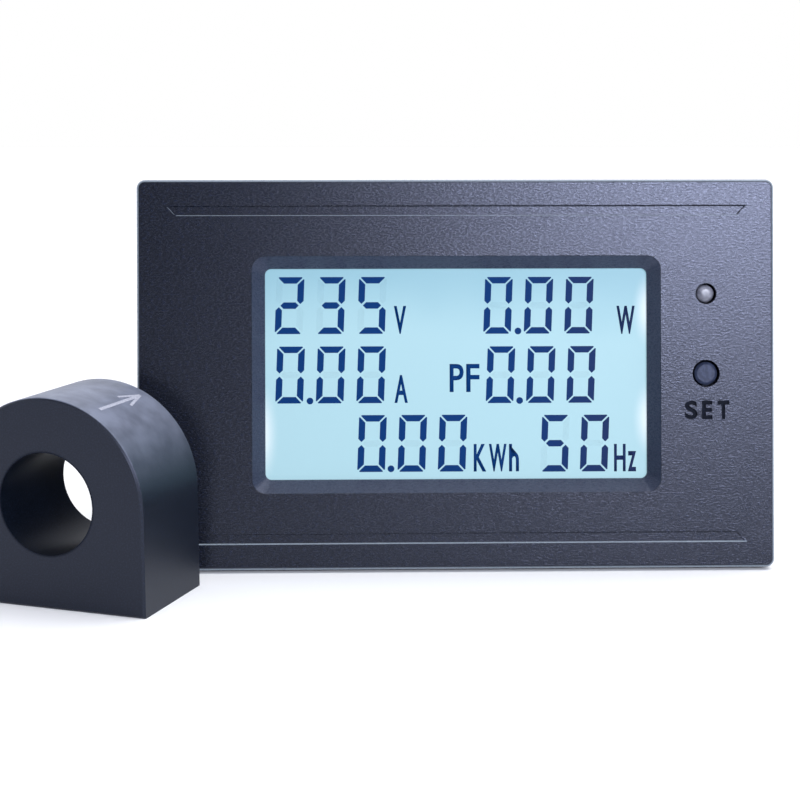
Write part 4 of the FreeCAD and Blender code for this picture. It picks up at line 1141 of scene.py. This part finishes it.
# The camera, fitted to the photograph: its focal length and the middle of its picture in pixels,
# its place from the middle of the bezel in millimetres, and its turns down and right in degrees
FRAME_PIXELS = 800
FOCAL_PIXELS = 1544.9
CENTRE_PIXELS = (438.55, 324.04)
CAMERA_PLACE = (-7.578, -214.951, 35.969)
CAMERA_DOWN = 7.629
CAMERA_RIGHT = 1.325


class METER_OT_stage(bpy.types.Operator):
    """Set the pale floor, the soft lights and the camera"""
    bl_idname = "meter.stage"
    bl_label = "Stage"

    def execute(self, context):
        floor = named(added(bpy.ops.mesh.primitive_plane_add, size=FLOOR_SIDE), "floor")
        paint(floor, floor_paper())
        self.room()
        overhead = bpy.data.lights.new("overhead_light", "SUN")
        overhead.energy = 2.1
        overhead.angle = math.radians(60)
        aimed(overhead, OVERHEAD_PLACE)
        key = bpy.data.lights.new("key_light", "AREA")
        key.shape = "RECTANGLE"
        key.size, key.size_y = KEY_SIZE
        key.energy = 4.6
        key.color = linear("#ebefff")[:3]
        aimed(key, KEY_PLACE)
        self.camera(context.scene)
        context.scene.view_settings.view_transform = "Standard"
        return {"FINISHED"}

    def room(self):
        """White where the camera looks past the object, pale behind it and dim in front of it."""
        world = bpy.data.worlds.new("pale_room")
        bpy.context.scene.world = world
        world.use_nodes = True
        way = add_node(world, "TexCoord", {})
        split = add_node(world, "SeparateXYZ", {"Vector": way.outputs["Generated"]})
        light = add_node(world, "MapRange",
                         {"Value": split.outputs["Y"], "From Min": -0.85, "From Max": 0.4,
                          "To Min": 0.03, "To Max": 1.0}, **EASED)
        room = world.node_tree.nodes["Background"]
        plug(world, room, {"Color": linear("#f2f5ff"), "Strength": light})
        seen = add_node(world, "Background", {"Color": (1, 1, 1, 1), "Strength": 1.0})
        rays = add_node(world, "LightPath", {}).outputs
        either = add_node(world, "Math",
                          {0: rays["Is Camera Ray"], 1: rays["Is Transmission Ray"]},
                          operation="MAXIMUM")
        mix = add_node(world, "MixShader", {0: either, 1: room, 2: seen})
        plug(world, world.node_tree.nodes["World Output"], {"Surface": mix})

    def camera(self, scene):
        """Stand where the photograph was taken."""
        data = bpy.data.cameras.new("photo_camera")
        data.sensor_width = 36.0
        data.lens = FOCAL_PIXELS / FRAME_PIXELS * data.sensor_width
        data.shift_x = (FRAME_PIXELS / 2 - CENTRE_PIXELS[0]) / FRAME_PIXELS
        data.shift_y = (CENTRE_PIXELS[1] - FRAME_PIXELS / 2) / FRAME_PIXELS
        data.clip_start = 0.01
        camera = bpy.data.objects.new("photo_camera", data)
        scene.collection.objects.link(camera)
        camera.location = METER_PLACE + Vector(CAMERA_PLACE) * MM
        camera.rotation_euler = (math.radians(90 - CAMERA_DOWN), 0, math.radians(-CAMERA_RIGHT))
        scene.camera = camera


def aimed(data, place):
    """Put a lamp at a place, aimed at the object."""
    light = bpy.data.objects.new(data.name, data)
    bpy.context.scene.collection.objects.link(light)
    light.location = place
    light.rotation_euler = (AIM - light.location).to_track_quat("-Z", "Y").to_euler()


STEPS = [
    METER_OT_stage,
    METER_OT_front_shell,
    METER_OT_button,
    METER_OT_indicator,
    METER_OT_display,
    METER_OT_rear,
    METER_OT_terminals,
    METER_OT_inside,
    METER_OT_transformer,
    METER_OT_arrow,
]


class METER_PT_sidebar(bpy.types.Panel):
    bl_idname = "METER_PT_sidebar"
    bl_label = "Power meter"
    bl_space_type = "VIEW_3D"
    bl_region_type = "UI"
    bl_category = "Meter"

    def draw(self, context):
        for step in STEPS:
            self.layout.operator(step.bl_idname)


CLASSES = [MeterSizes, TransformerSizes, MeterColours] + STEPS + [METER_PT_sidebar]


def register():
    for thing in CLASSES:
        bpy.utils.register_class(thing)
    bpy.types.Scene.meter_sizes = PointerProperty(type=MeterSizes)
    bpy.types.Scene.transformer_sizes = PointerProperty(type=TransformerSizes)
    bpy.types.Scene.meter_colours = PointerProperty(type=MeterColours)


def unregister():
    del bpy.types.Scene.meter_colours
    del bpy.types.Scene.transformer_sizes
    del bpy.types.Scene.meter_sizes
    for thing in reversed(CLASSES):
        bpy.utils.unregister_class(thing)


def main():
    register()
    for step in STEPS:
        group, name = step.bl_idname.split(".")
        getattr(getattr(bpy.ops, group), name)()


if __name__ == "__main__":
    main()
